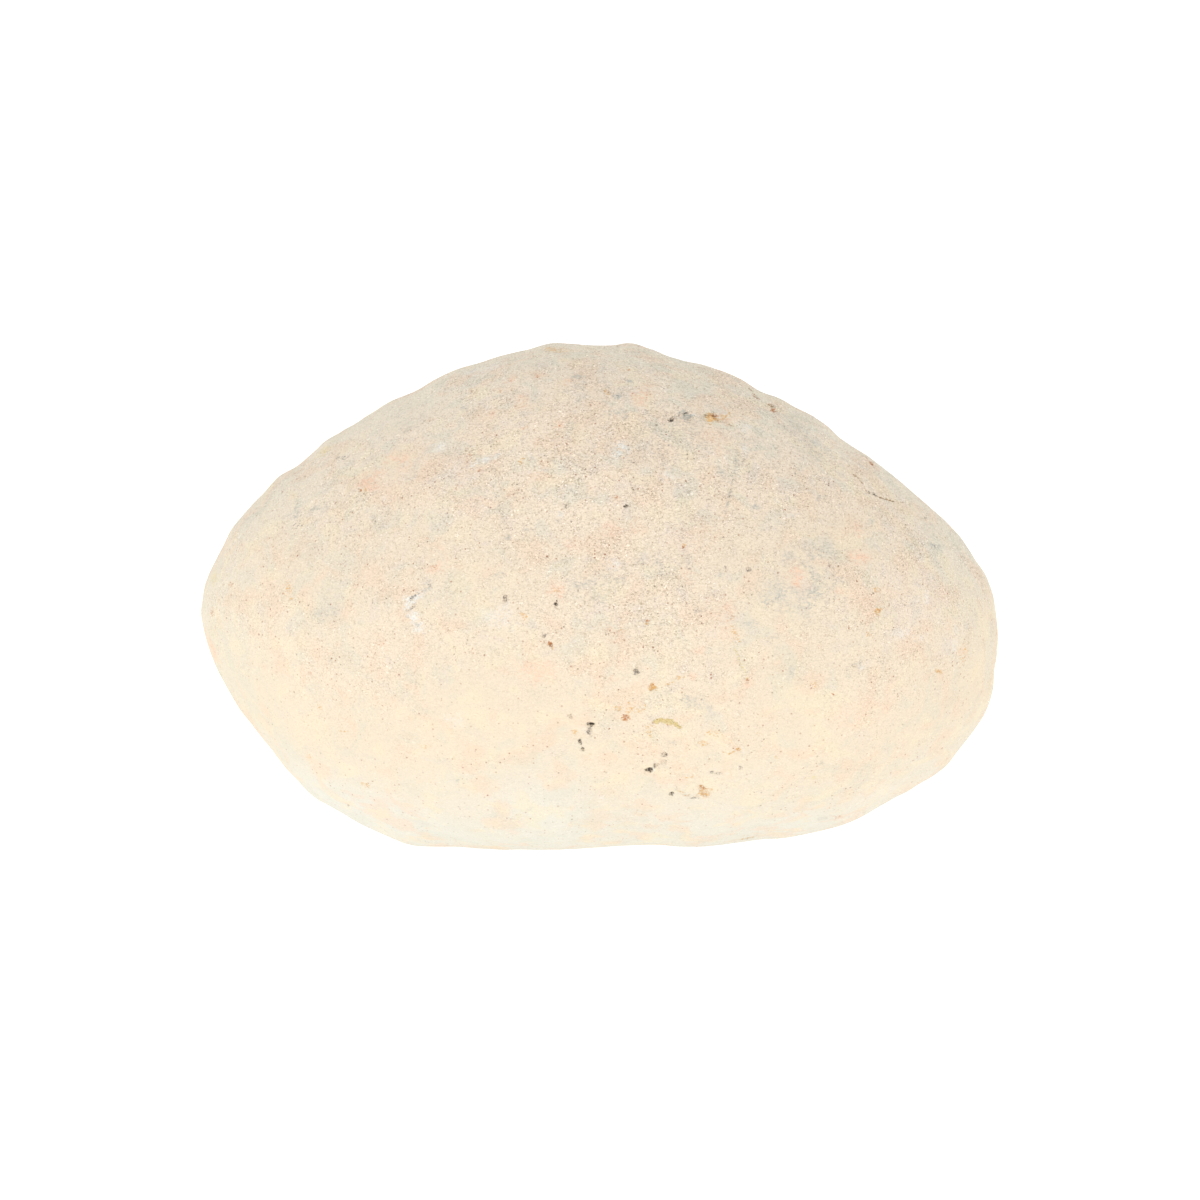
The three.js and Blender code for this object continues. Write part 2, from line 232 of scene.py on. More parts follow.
FRONT_MARKS = (
    # the golden grain in its pocket, and the broken skin beside it
    *Mark.several(OCHRE, (16.3, 25.1, 1.7, 1.7, .85, -5, .6), (16.1, 24.9, 1.4, 1.2, .85, -10, -.7),
        (18.1, 25.2, 1.1, .8, .51, 0, .1), (18.9, 25.7, .7, .7, .42, 20, .1)),
    *Mark.several(RUST, (16.3, 25.2, 1.3, 1, .64)),
    # the first umber mark darkens the grain's upper part with painted shade
    *Mark.several(UMBER, (16.4, 25.4, .8, .5, .36), (15.3, 25.4, .5, .4, .36, -30, .1),
        (7.7, 23.5, 2.7, 1.1, .09, 10)),
    *Mark.several(BLUSH, (18, 25.4, 3.7, 2.3, .4)),
    *Mark.several(CHALK, (13.6, 25.7, .5, 1.1, .39)),
    *Mark.several(SOOT, (10.5, 24.7, 1.1, .5, .78, 24, .4), (11.5, 25.3, .7, .2, .37, 35, .1),
        (8.5, 23.8, .8, .5, .2, -15), (12.3, 25.7, .8, .4, .51, 12, .1), (13.1, 24.5, .4, .3, .37, -20)),
    *Mark.several(SLATE, (12.6, 25.2, 2, 1.7, .59, 0, .25), (13, 24.7, 1.1, .9, .51, -20, .1),
        (12.1, 25.7, 1.4, .7, .68, 10, .15)),
    # nicks with rust in them along the shoulder
    *Mark.several(RUST, (23.1, 28.9, 1.2, .5, .77, -42, .35), (25.5, 26.7, .9, .6, .81, -20, .3),
        (40.1, 19.2, .8, .7, .81, -30, .15), (39.5, 20, .7, .3, .34, -50)),
    *Mark.several(UMBER, (23.2, 28.8, .8, .4, .45, -40), (22.4, 30.1, 1.1, .3, .45, -42, .1),
        (25.3, 27.4, 1.1, .4, .72, -24, .3), (40.1, 19.2, .5, .4, .45)),
    # black pits below the middle
    *Mark.several(SOOT, (-.8, -18, .9, .7, .87, -10, .7), (-2.4, -20.4, .8, .5, .83, -42, .6),
        (-2, -21.4, .6, .5, .83, 0, .6), (7.3, -24.3, 1, .7, .87, 10, .6), (8.1, -23.7, .4, .3, .46, 0, .1),
        (9.5, -22.2, .4, .3, .37, 30, .1)),
    *Mark.several(LEAD, (-1.1, -18.9, .7, .9, .49, 10, .3), (-.9, -19.5, .4, .5, .27, -50, .1),
        (-3.7, -16.8, .8, .5, .33, -58, .25), (8.2, -23.8, .8, .7, .49, 20, .3),
        (9.3, -23.2, 1.1, .7, .3, 22, .2), (9.4, -22.2, .8, .7, .44, 42, .25)),
    *Mark.several(OCHRE, (-3.1, -18.9, .8, .7, .38, -20, .1), (-1.3, -22.4, 1.3, 1.3, .1)),
    *Mark.several(SLATE, (10.1, -20.4, 1.2, 1.1, .34)),
    *Mark.several(CHALK, (7.8, -24.3, .4, .6, .59)),
    # flakes and pits with ochre in them
    # the first olive and ochre marks lie along the crescent flake's wall: its own tint, deepened with painted
    # shade
    *Mark.several(OLIVE, (9.9, -17.7, 2.2, .5, .4, -8), (30.2, -25.6, 2.3, .7, .2, 3)),
    *Mark.several(OCHRE, (10.3, -17.9, 1.8, .5, .51, -16), (7.3, -18.5, 1.2, 1.7, .19),
        (14.7, -20.6, 1.6, .8, .34, -15, .15), (16.2, -19.3, 2.4, 1.2, .17),
        (19.5, -21.4, .7, .7, .59, 0, .2), (14.9, -27.5, 1.7, 1.7, .53, 0, .45),
        (15.3, -27.6, .7, .9, .42, 10), (15.1, -28.6, 1.2, .5, .21, -10), (12.7, -25.6, 4.5, 4, .08, -14),
        (12.2, -27.9, 1.9, .5, .3, -25, .1), (22.2, -18.9, 1.2, 1.2, .14), (24.8, -22.7, .7, .5, .26)),
    *Mark.several(RUST, (9.7, -17.9, .3, .3, .34), (7.6, -21.8, .8, .8, .15),
        (14.7, -27.2, .9, .8, .51, 0, .15), (12.6, -28.2, 1.3, .3, .21, -12, .1),
        (29.3, -25.7, .5, .4, .21)),
    *Mark.several(CHALK, (20.2, -21.4, .6, 1.1, .26), (18.1, -24.8, .6, .6, .26)),
    *Mark.several(LEAD, (13.7, -28.6, 1.1, .3, .33, 2, .15), (11.1, -27, .7, .9, .3, 20),
        (16, -24.7, .7, .5, .33, -20, .15), (17, -24.9, 1.2, .4, .27, -6, .15),
        (19.9, -24, .6, .5, .22, 0, .15)),
    *Mark.several(SOOT, (10.4, -28, .7, .5, .74, 20, .35), (22.2, -27.7, .6, .5, .15)),
    *Mark.several(SLATE, (31.4, -23.6, .7, .6, .59, 0, .15)),
    # orange stains above the flakes
    *Mark.several(OCHRE, (2.8, -15.6, .8, .7, .51, 0, .1), (4.4, -15.6, 1, 1.8, .3, -10),
        (5.1, -16.1, 1.8, .7, .34, -10), (3.9, -16.9, 1.1, .9, .42), (4.7, -15, 2.6, 1.8, .09),
        (7.6, -12.7, 1, .9, .68, 0, .35), (11.2, -11.4, 2.1, .8, .21, 35)),
    *Mark.several(RUST, (2.8, -15.6, .4, .4, .26, 0, .1), (4.6, -16, .6, .5, .26, -35),
        (3.9, -16.9, .9, .8, .64, 0, .25), (7.5, -12.5, .5, .4, .3), (2.1, -11.3, .5, .4, .17, 5)),
    *Mark.several(SLATE, (7.5, -17, .6, .8, .34, 0, .1)),
    *Mark.several(LEAD, (9.8, -12.8, 1.3, .6, .16, 10)),
    *Mark.several(BLUSH, (13, -11.2, 1.4, 1, .4), (13.8, -7.6, 1.6, 1, .35), (2.2, -11.4, 1.4, .8, .35, 5)),
    # small dark pits
    *Mark.several(LEAD, (5.4, -10.5, 1, .9, .38, 0, .35), (-4.3, 12.3, .8, .8, .27, 10, .2),
        (-12.6, -.5, .7, .8, .44, 0, .3), (-7.3, -5.6, .6, .6, .33, 0, .2), (-8.9, -4.6, .5, .4, .16),
        (-13.7, -7.9, .7, 1.2, .16), (8.2, -2.7, .8, .7, .22), (-24.6, -12.5, 1.3, .9, .16, 15),
        (35.5, -9.9, .7, .5, .27, 0, .1), (20.7, 3.5, .8, .6, .33, -15, .2),
        (17.6, 3.7, .8, .7, .33, 20, .15)),
    *Mark.several(SOOT, (5.3, -10.5, .4, .3, .32, 0, .1), (4, 12.2, .8, .5, .57, 5, .4),
        (-5.6, -1.2, .7, .6, .69, -20, .4), (-12.6, -.5, .3, .4, .28)),
    *Mark.several(CHALK, (-5.1, 11, .8, 1.1, .33), (36.6, -10, .7, .7, .39, -25)),
    *Mark.several(SLATE, (-5.2, 10.4, .8, 1.4, .3, -30, .15), (-9.3, 9, 1.9, .7, .38, 10, .1),
        (-12.3, 7.9, 1.1, .8, .51, -20, .1), (-13.7, 2.6, 1.7, .7, .38, 10), (14, -2, 1.6, 1.4, .3),
        (35.9, -9.7, 1.7, 1.1, .59, -15, .15), (16.8, 2.4, 1.1, 1, .3, 10),
        (26.5, -10.6, 1.1, 1.9, .26, -15), (-19.6, -25.9, .6, .6, .51), (-9.5, -30.3, .7, .6, .38)),
    *Mark.several(RUST, (-7.5, -6.4, .6, .5, .34), (-6.4, -6.8, .8, .6, .59, -30, .2),
        (-17, -7.7, 1, .8, .19), (6.9, -3.7, .6, .5, .3, 0, .1), (20.6, -11.9, .5, .6, .36, 0, .15),
        (39, -2.3, .6, .5, .3), (37.5, -5.5, .4, .4, .17), (48.1, -10.8, .6, .5, .21),
        (29.7, -12.2, .5, .5, .13), (32.5, -13.6, .6, .6, .26)),
    *Mark.several(OCHRE, (-6.4, -6.9, 1, .8, .51, -20, .3), (-10, -2.9, 1, .9, .42), (3.5, -4.8, 1, .8, .19),
        (6.9, -3.8, .9, .8, .42, 0, .15), (38.9, .8, 1.2, .8, .34), (39, -2.3, 1.1, .9, .64, 0, .1),
        (37.5, -5.6, .9, 1.1, .38), (48.1, -10.8, 1.2, .9, .51), (29.7, -12.2, 1.3, 1.2, .34)),
    *Mark.several(BLUSH, (20.7, -12, 1.5, 1.2, .4), (29.6, -16.1, 1.7, .8, .3)),
    # pin-head dots, rusty ones with a pink halo
    *Mark.several(BLUSH, (-14.9, 25.7, 1.3, 1.1, .45), (-5.4, 23.7, 1.3, 1.1, .5), (-10.3, 23.1, 1, .9, .36),
        (-12.7, 14.5, 1.4, 1.2, .36), (-16.4, 17.3, 1.4, 1.2, .45), (-19.6, 14.9, 1.5, 1.3, .47),
        (-8.5, 21.3, 1.6, 1.5, .25), (-.5, 22.6, 1.3, 1.1, .23), (-3.4, 21.3, 1.1, 1, .18),
        (2.6, 13.4, 1.4, 1.2, .34), (-5, 13.9, 1, .9, .23), (-12.4, 30.7, 1.4, 1.3, .36),
        (-8.6, 31.2, 1.2, 1, .32), (-13.8, 29, 1.3, 1.1, .36), (-22.1, 3.7, 2.1, 1.5, .4),
        (11.8, 6.5, 1.1, 1, .41), (36.5, 8.9, 1.1, 2, .45, 10), (-40.5, -11, 1.3, 1.1, .23),
        (-8.4, -10.6, 5.2, 3.3, .35, -20)),
    *Mark.several(RUST, (-14.9, 25.7, .5, .4, .42, 0, .1), (-5.4, 23.7, .5, .4, .47, 0, .1),
        (-10.3, 23.1, .4, .4, .34, 0, .1), (-12.7, 14.5, .5, .5, .34, 0, .1),
        (-17.8, 19.6, 1, .4, .34, -8, .1), (-16.4, 17.3, .5, .5, .42, 0, .1),
        (-19.6, 14.9, .6, .5, .45, 0, .1), (-10.5, 18.4, .5, .4, .13), (-7.7, 18.6, .4, .4, .26, 0, .1),
        (-8.5, 21.3, .6, .6, .23, 0, .1), (-3.4, 21.3, .4, .4, .17, 0, .1), (2.6, 13.4, .5, .5, .32, 0, .1),
        (-5, 13.9, .4, .3, .21, 0, .1), (-12.4, 30.7, .6, .5, .34, 0, .1), (-8.6, 31.2, .5, .4, .3, 0, .1),
        (-13.8, 29, .5, .4, .34, 0, .1), (-18, 29.3, .4, .4, .21, 0, .1), (-23.6, 7.7, .5, .4, .34, 0, .1),
        (-33.5, 14.8, .5, .4, .64, 0, .1), (-22.4, 3.9, 1, .8, .26), (-21.5, 3.4, .6, .6, .21),
        (11.8, 6.5, .4, .4, .38, 0, .1), (19.6, 10.5, .3, .3, .21, 0, .1), (42, 9, .4, .3, .17),
        (-40.5, -11, .5, .4, .21, 0, .1), (-30, -6.8, 1.3, .5, .3, -5), (-52.9, 1.5, .9, .8, .34),
        (-56.3, -2.4, .9, 1.4, .32, -20), (34.6, -32, 1.9, .8, .24, 12), (19.1, -5.5, .4, .4, .26)),
    *Mark.several(LEAD, (-11.1, 22.7, .5, .5, .22, 0, .1), (10.1, 20.8, .5, .5, .19),
        (12.7, 3.8, 1, .9, .19), (47.9, 11.2, .6, .5, .33, 0, .1)),
    *Mark.several(UMBER, (-13.5, 22.9, .5, .4, .2, -30), (23, 14.3, .5, .4, .18),
        (-36.5, -30.6, 1.1, .7, .2, -20), (18.1, -2.3, 1.2, 3.1, .14)),
    *Mark.several(OCHRE, (-12.7, 14.5, .8, .7, .26), (-10.5, 18.5, 1.1, .9, .34), (-32.8, 14.9, .5, .5, .34),
        (11.9, 6.8, .5, .8, .26), (-39.3, -16, .8, 1.2, .21, 20), (-33.1, -27, 1.5, .7, .34, -20),
        (-41.7, -23.4, 1.1, 1.7, .19, 20), (-24, -21.2, 1.5, 1.1, .21), (-35.8, -19.2, 1.9, .8, .21),
        (18.8, -5.3, .8, 1.8, .26, 25), (18.4, -4.3, .5, .5, .42), (19.4, -6.2, .5, .5, .42)),
    *Mark.several(SLATE, (17.4, 17.1, 1.1, 1.1, .42), (22.2, 12.2, 1.3, 1.1, .42),
        (30.6, 13.4, 1.3, .7, .42, 10), (38.4, 10.1, 1.3, 1.3, .34), (32.5, -32.1, 1.5, .9, .3, 10)),
    # chalky knock and other pale scuffs
    *Mark.several(CHALK, (-26, -1.3, 1.7, 1.9, .62, -30, .15), (-24.7, -.1, 2.2, 1.2, .52, 38, .1),
        (-25.4, -3.2, 1.2, 2.2, .59, 15), (-24.4, -4.6, 1.4, 1.7, .39), (3, 20.3, 2.1, 2.4, .55),
        (4.3, 19.8, 1, 1, .26), (-22.1, 20.7, 2.3, 1.6, .49, 10), (-15.8, 18.8, 4.2, 1.1, .42, 24),
        (-14.4, 19.7, 2, 1, .33, 20), (46.2, -.7, 2.4, 1.7, .39), (42.3, -5.3, 2.5, 1.7, .39, 10),
        (44.9, -6.1, 1.7, 1.1, .26), (50.9, -7.1, 1.4, 2, .29, 20), (25, 13, 1, .8, .33),
        (27.2, 11.2, 2, .7, .26, 20), (20.8, 20.4, 1.1, 1.6, .29), (21, 23.7, 1.7, 1.1, .26),
        (-16.6, 33.2, 6.5, 1.3, .33, 14), (9.8, 16.2, 2.5, 1.3, .29), (2, 4.3, 1.9, 2.5, .29, -10),
        (-13.3, -3.1, 4.4, 3, .23), (11.6, 6.8, 1.1, 1, .2), (-29.7, 13.4, 1.3, 1.1, .23),
        (-19.6, -17.3, 2.5, 1.9, .23), (.4, -28.8, 2, 1.7, .2), (-1.7, -18.7, 2.8, 1.4, .13)),
    *Mark.several(SLATE, (-23.5, .9, 2.5, 1.1, .47, 48, .1), (-24.6, -4.2, .8, .5, .42, -35, .1),
        (-26.3, -3, .7, .4, .42, -20), (-23.7, 20.6, 1.3, 1.1, .34)),
    *Mark.several(LEAD, (-23.2, 1.2, 1.2, .7, .24, 45), (-25.4, -.3, 1.7, .5, .39, 38, .15),
        (-25.4, -1.6, 1.4, .4, .35, 42, .15), (-26.8, -1.2, .4, .8, .24, -20)),
    # broad duller patches
    *Mark.several(SLATE, (29, 1.6, 10.2, 9.7, .26), (11, 21.6, 13.5, 8.4, .17, 10),
        (21.7, 18.9, 8.5, 8.5, .12), (25.1, -.5, 8.5, 3, .26, 8), (31, 1.7, 4.7, 6.1, .21, -10),
        (9.3, 4.5, 8.2, 3.6, .17, -8), (-1, 1.6, 6.9, 3.3, .17, -6)),
    *Mark.several(BLUSH, (27.2, 3, 4.1, 3.6, .35), (-23.5, 17.5, 15.5, 9.9, .16, 30),
        (44.5, -4.2, 8.4, 12.7, .16, 10), (-19.7, 17.1, 4.8, 4.2, .2), (47.7, .4, 4.8, 4.8, .25),
        (50, -6.4, 3.4, 4.6, .2), (11.9, 8, 5.5, 4.7, .26), (-16.5, 12.8, 4.2, 3.6, .16),
        (2.6, -4.7, 4.1, 3.6, .26), (39.3, -1.9, 4.7, 4.2, .28), (12.7, 2.3, 3.6, 3.6, .22)),
    *Mark.several(CHALK, (44.6, -.7, 9.9, 12.7, .13, 10), (-19.7, 17.1, 5.6, 4.8, .2),
        (48, -.2, 4.6, 4.8, .14), (50.5, -6.9, 3.4, 4.6, .14), (11.9, 8.3, 5, 4.1, .12),
        (-16.5, 12.8, 4.2, 3.6, .13), (33.1, 22.2, 5.2, 3.2, .16, -35), (40.6, -28.3, 7.2, 3.8, .13, 20)),
    # grey-blue blotches
    *Mark.several(SLATE, (2.6, 25.7, 2.4, .8, .51, 8), (3.8, 25.1, .8, 1.4, .34), (2.9, 28.1, 1.1, .8, .59),
        (4.6, 30.5, .9, .8, .51), (-2.9, 31.1, 2, .7, .42), (-19, 26.6, 1.2, 1.1, .47),
        (-28.7, 23.9, 4.9, 2.3, .21, 20), (29.4, 4.6, 2.2, 1.7, .42, 10), (30, 2.4, 2.2, 2.2, .34, -20),
        (29.6, .6, 2.1, 1.9, .47, 20), (29, -1.4, 1.8, 1.1, .47, 10), (33.3, 2.2, 1.4, 1.2, .3),
        (26.1, 5.2, 1.1, 1.1, .42), (25.2, -.2, 2.1, 1.7, .51, 30), (23, -1.1, 1.7, 1, .51, 15),
        (20.9, -4, 1.6, 1.2, .42, 10), (23.8, -5.8, 1.7, 1, .21), (34.2, -.7, 1.1, 1.4, .26),
        (44.1, -1.3, 1.1, .8, .26), (48.7, 6.9, 1.9, 1.2, .55, -25), (47.9, 9.8, 2.3, 1.3, .3, 15),
        (-1.8, 1.4, 3.3, 1.8, .38, -10), (3, 2, 2.2, 1.4, .34), (3.8, 4, 1.4, 1.1, .21),
        (9, 4.3, 3.6, 1, .3, -10), (13, -14.6, 2.8, 1.7, .38, -10), (14.6, -15.3, 2.8, 1.2, .27, -25),
        (-37.8, -2.6, 4.2, 2.8, .24), (28.1, 24.7, 4.9, 3.2, .31, -35), (30.8, 21.2, 5.2, 2.9, .24, -35),
        (-43.2, 12.2, .9, 2.5, .51, 5), (-39.6, 12.2, 2.6, 1.1, .34), (-50.2, 12.8, 3.5, 7.4, .14, -40)),
    *Mark.several(LEAD, (2.8, 28, .6, .4, .21), (25.5, .2, .8, .7, .21), (48.4, 6.9, .9, .6, .21, -25),
        (-42.6, 10, 1.3, .9, .21, 20), (-36.9, 19.8, 2, 1.2, .21)),
    *Mark.several(OLIVE, (-40.2, 21.1, 2.1, 1.3, .4, 10), (-56.3, 2.5, 1.5, 2.4, .4, -15)),
    # peach and salmon patches
    *Mark.several(BLUSH, (27.2, 2.7, 2.1, 2.6, .75, 10), (36.7, 5, 3.4, 2, .6), (49.7, -4.3, 2, 2.6, .3),
        (-31.9, 16.3, 3.4, 3.1, .6, 10), (-28.4, 19.1, 3.7, 2.8, .5), (-5.6, .6, 2.7, 2.2, .5),
        (-3, 6.7, 5, 1.9, .3, -10), (3.1, 8.9, 5.5, 3, .35), (16.4, 21.7, 4.2, 2.5, .35, -30),
        (-10.7, 27.4, 1.7, 2.3, .45), (-4.5, 30.4, 1.4, 1.1, .45), (6.1, 28.2, 2.4, 2.9, .6, -10),
        (-7.8, 16.7, 2.2, 2.8, .3), (17, -3.5, 4.1, 8.2, .2), (18.1, -2.5, 1.6, 3.6, .4),
        (14.2, 9.6, 2.5, 2.8, .25), (33.2, .4, 1.9, 1.1, .35), (34.1, 8.6, 5.6, 2.8, .2),
        (36.5, -16.7, 7, 4.2, .15), (36.4, -.7, 3.3, 3.1, .2), (-45.5, -9, 1.4, 1.7, .25)),
    *Mark.several(OCHRE, (52, -8.6, 2.3, 2.6, .22), (-43.6, .4, 1.4, 2.6, .25), (-5.5, .5, 1.6, 1.2, .15),
        (1.5, 28.5, 1.3, 1.3, .35), (-6.5, 35.8, 2.9, 1, .42, -5)),
    *Mark.several(RUST, (27.2, 1.6, 1.2, .7, .14)),
    # the hairline crack
    Trace(SOOT, ((38.1, 15.2), (38.6, 14.7), (39.4, 14.4), (40.3, 14)), .32, .25, .5),
    Trace(UMBER, ((40, 14.1), (41.4, 13.7), (42.7, 13.4)), .32, .2, .5),
    Trace(UMBER, ((42.4, 13.5), (44.1, 13.4), (45.8, 13.1)), .23, .05, .2),
    Trace(UMBER, ((36.6, 17.2), (37.4, 16.7), (38, 15.8)), .29, .15, .5),
    # the crescent flake's broken edge: its olive wall under the overhang is its own tint deepened with
    # painted shade, and the umber line along its lip is a painted shadow
    Trace(OLIVE, ((7.7, -17.6), (8.8, -17.3), (9.9, -17.4), (10.9, -17.9), (11.5, -18.4)), .58, .35, 1.36),
    Trace(UMBER, ((8.2, -17.4), (9.2, -17.2), (10.2, -17.3)), .25, .1, .18),
    # thin orange lines along the flakes
    Trace(OCHRE, ((7.1, -18), (7.1, -18.8), (7.4, -19.7)), .42, 0, .35),
    Trace(OCHRE, ((14.8, -19.3), (15.2, -19), (15.9, -18.9)), .41, 0, .35),
    Trace(OCHRE, ((18.4, -20.1), (18.9, -20.9)), .33, 0, .35),
    Trace(OCHRE, ((17.4, -21.8), (18.4, -22), (19.4, -21.5)), .33, 0, .4),
    Trace(OCHRE, ((5.6, -16.4), (6.4, -15.7), (6.7, -15.1)), .41, 0, .35),
    Trace(OCHRE, ((9.1, -12.4), (10.5, -11.8), (11.6, -11.1)), .41, 0, .35),
    Trace(OCHRE, ((11.6, -25.4), (13, -25.4), (14, -25.1), (14.6, -24.7)), .34, 0, .25),
    # faint scratches and the foot of the rusty streak
    Trace(SLATE, ((19.7, 20.9), (19.2, 17.7), (18.4, 14.2), (17.7, 11.1)), .48, .06, .42),
    Trace(UMBER, ((19, 16.8), (18.6, 14.8), (18.1, 12.7)), .25, 0, .22),
    Trace(UMBER, ((17.4, 24.6), (18.4, 24.3), (19.4, 23.9)), .28, .1, .25),
    Trace(OLIVE, ((18.6, -6.6), (19.2, -8.4), (20.1, -10.3), (20.5, -11.6)), .41, 0, .4),
    Trace(SLATE, ((18.7, -7), (19.2, -8.5), (19.8, -9.9)), .27, 0, .3),
)


@dataclass(frozen=True)
class Swell:
    """A low rise on the stone's outline, or a dip where rise is below 0. It runs from front to back."""

    at: tuple[float, float]
    spread: float
    rise: float

    CREST = 0.1  # share of the spread that rises in full

    def lift(self, spots: np.ndarray) -> np.ndarray:
        """How far it raises each spot."""
        away = np.hypot(spots @ ACROSS - self.at[0], spots @ UP - self.at[1])
        return self.rise * (1 - ease(away / self.spread, self.CREST, 1))


SWELLS = tuple(Swell((across, up), spread, rise) for across, up, spread, rise in (
    (58.1, 1.2, 5, 0.39), (37.1, 22.3, 4, -0.33), (32.5, 25.9, 4.5, 0.30), (27.6, 29.0, 3.5, 0.25),
    (24.1, 30.9, 3, -0.19), (20.3, 31.9, 4, 0.21), (11.9, 35.7, 5, -0.33), (5.0, 37.7, 3, 0.22),
    (0.4, 36.7, 5, -0.30), (-3.3, 37.1, 4, -0.14), (-7.0, 37.1, 3.5, 0.17), (-11.4, 36.9, 5, -0.22),
    (-16.5, 34.5, 5, -0.28), (-21.0, 33.7, 4, 0.14), (-27.1, 29.9, 4, -0.28), (-35.1, 26.8, 4, -0.30),
    (-38.1, 25.1, 4, -0.39), (-44.1, 20.7, 5.5, -0.61), (-47.0, 16.8, 4, 0.22), (-57.1, 6.3, 5, -0.41),
    (-59.2, 0.7, 4, -0.17), (-53.5, -16.6, 4, 0.17), (-45.9, -25.1, 4, 0.19), (-39.3, -32.3, 4, -0.22),
    (-27.7, -36.0, 5, 0.28), (14.5, -37.1, 6, 0.41), (24.1, -36.9, 5, -0.28), (36.2, -32.6, 5, 0.28),
    (43.4, -31.2, 4, -0.22), (50.7, -26.0, 4.5, 0.39), (58.1, -15.3, 5, 0.30),
))

# The sides that the front doesn't show carry marks of the same kinds.
OTHER_MARKS = (
    # back: a double pit high up, a long flake with ochre in its rim, two black pits
    *Mark.several(SOOT, (-14, 17, 1.6, 1.2, .7, 30, .8), (-11.4, 15.6, 1.1, .6, .6, -20, .4),
        (-30, -9, 1.2, 1, .95, 0, .7), (-28.4, -11.2, 1.5, .5, .75, 48, .5),
        (2, -14, 1, .7, .65, 10, .4), side=Side.BACK),
    *Mark.several(UMBER, (-13.4, 16.4, 2, 1.6, .4, 30), side=Side.BACK),
    *Mark.several(RUST, (-8.9, 15, 1.6, 1.1, .4), (27.4, -4.6, .7, .6, .7, 0, .15),
        (38, 8, 1.3, .8, .8, -30, .45), (-3.4, 9.6, .8, .7, .85, 0, .2),
        (-2.2, 8.6, 1.2, .7, .45, -30), side=Side.BACK),
    *Mark.several(CHALK, (24, -6.4, 5.6, 2.4, .35, 24, .35),
        (-40, 9, 3.4, 1.5, .6, -35, .3), side=Side.BACK),
    *Mark.several(OCHRE, (30, -2.6, 1.5, 1, .8, 60, .6), (-4.6, 8.4, 2.6, 1.8, .2), side=Side.BACK),
    *Mark.several(SLATE, (-29.4, -10.2, 1.1, .7, .7, 30, .2), (-22, 4, 7, 4.6, .36, 20),
        (12, 12, 9, 5, .35, -25), (-6, -6, 3.6, 2.4, .5), (34, -14, 4.4, 3, .45, 40), side=Side.BACK),
    *Mark.several(BLUSH, (-34, 2, 8, 5, .4, 10), (6, 2, 9, 5, .4, -15),
        (-18, -16, 7, 4, .35), side=Side.BACK),
    Trace(OLIVE, ((21.2, -5.6), (23, -4.2), (25.4, -3.6), (27.2, -3.9)), .6, .45, .9, Side.BACK),
    Trace(SOOT, ((8.4, 24.6), (4.6, 22.8), (1.8, 22.4), (-1.8, 20.0)), .26, .3, .4, Side.BACK),
    # top
    *Mark.several(UMBER, (-12, 9, 1.7, 1.2, .6, 15, .55), side=Side.TOP),
    *Mark.several(SOOT, (19, 11, 1.2, .9, .8, 0, .5), side=Side.TOP),
    *Mark.several(OCHRE, (5, 19, 3.8, 1.6, .4, -28, .35), side=Side.TOP),
    *Mark.several(SLATE, (-2, 6, 6, 4, .4, 20), (24, 18, 5, 3.4, .4, 35), side=Side.TOP),
    *Mark.several(BLUSH, (-14, 16, 9, 6, .4, -10), side=Side.TOP),
    # the two ends
    *Mark.several(SOOT, (9, 4, 1.3, .9, .8, 35, .55), side=Side.BLUNT_END),
    *Mark.several(OCHRE, (7, -11, 2.2, .9, .6, -50, .4), side=Side.BLUNT_END),
    *Mark.several(SLATE, (2, 10, 5, 3.4, .5, 30), side=Side.BLUNT_END),
    *Mark.several(BLUSH, (12, -6, 6, 4, .45), side=Side.BLUNT_END),
    *Mark.several(SOOT, (-9, -5, 1.2, .9, .7, 0, .5), side=Side.NARROW_END),
    *Mark.several(CHALK, (12, 8, 2.2, 1.1, .6, 65, .4), side=Side.NARROW_END),
    *Mark.several(SLATE, (-2, 8, 4.4, 3, .4, 10), side=Side.NARROW_END),
    *Mark.several(BLUSH, (6, -8, 6, 4, .4), side=Side.NARROW_END),
    # underside
    *Mark.several(SLATE, (-12, -4, 9, 5, .4, 15), side=Side.UNDER),
    *Mark.several(OCHRE, (22, 8, 2, 1.4, .5, 0, .3), side=Side.UNDER),
)


@dataclass(frozen=True)
class PinHeads:
    """Pin-head specks strewn over a side, within an oval about its middle."""

    side: Side
    count: int
    oval: tuple[float, float]

    KINDS = ((RUST, 0.65, 5), (UMBER, 0.55, 3), (SOOT, 0.55, 3), (SLATE, 0.8, 2))  # stain, size and how often
    GROWTH = (0.6, 1.25)  # how small and large they come, against their kind's size
    FLATTEST = 0.6  # the narrowest one's width, against its length
    TURN = 60
    DEPTHS = (0, 0.12, 0.2)
    STRENGTHS = (0.4, 0.85)

    def marks(self, lot: random.Random) -> Iterator[Mark]:
        """The specks.

        Args:
            lot: the seeded source of chance that places them.
        Returns:
            each speck in turn.
        """
        stains, sizes, weights = zip(*self.KINDS)
        for _ in range(self.count):
            kind = lot.choices(range(len(stains)), weights)[0]
            turn, out = lot.uniform(0, math.tau), math.sqrt(lot.random())
            at = (self.oval[0] * out * math.cos(turn), self.oval[1] * out * math.sin(turn))
            size = sizes[kind] * lot.uniform(*self.GROWTH)
            yield Mark(stains[kind], at, (size, size * lot.uniform(self.FLATTEST, 1)),
                       lot.uniform(-self.TURN, self.TURN), lot.choice(self.DEPTHS),
                       lot.uniform(*self.STRENGTHS), self.side)


PIN_HEADS = (
    PinHeads(Side.BACK, 70, (52, 31)),
    PinHeads(Side.TOP, 24, (42, 24)),
    PinHeads(Side.BLUNT_END, 8, (9, 20)),
    PinHeads(Side.NARROW_END, 8, (8, 18)),
    PinHeads(Side.UNDER, 10, (34, 18)),
)


# ------------------------------------------------------------------ shader building


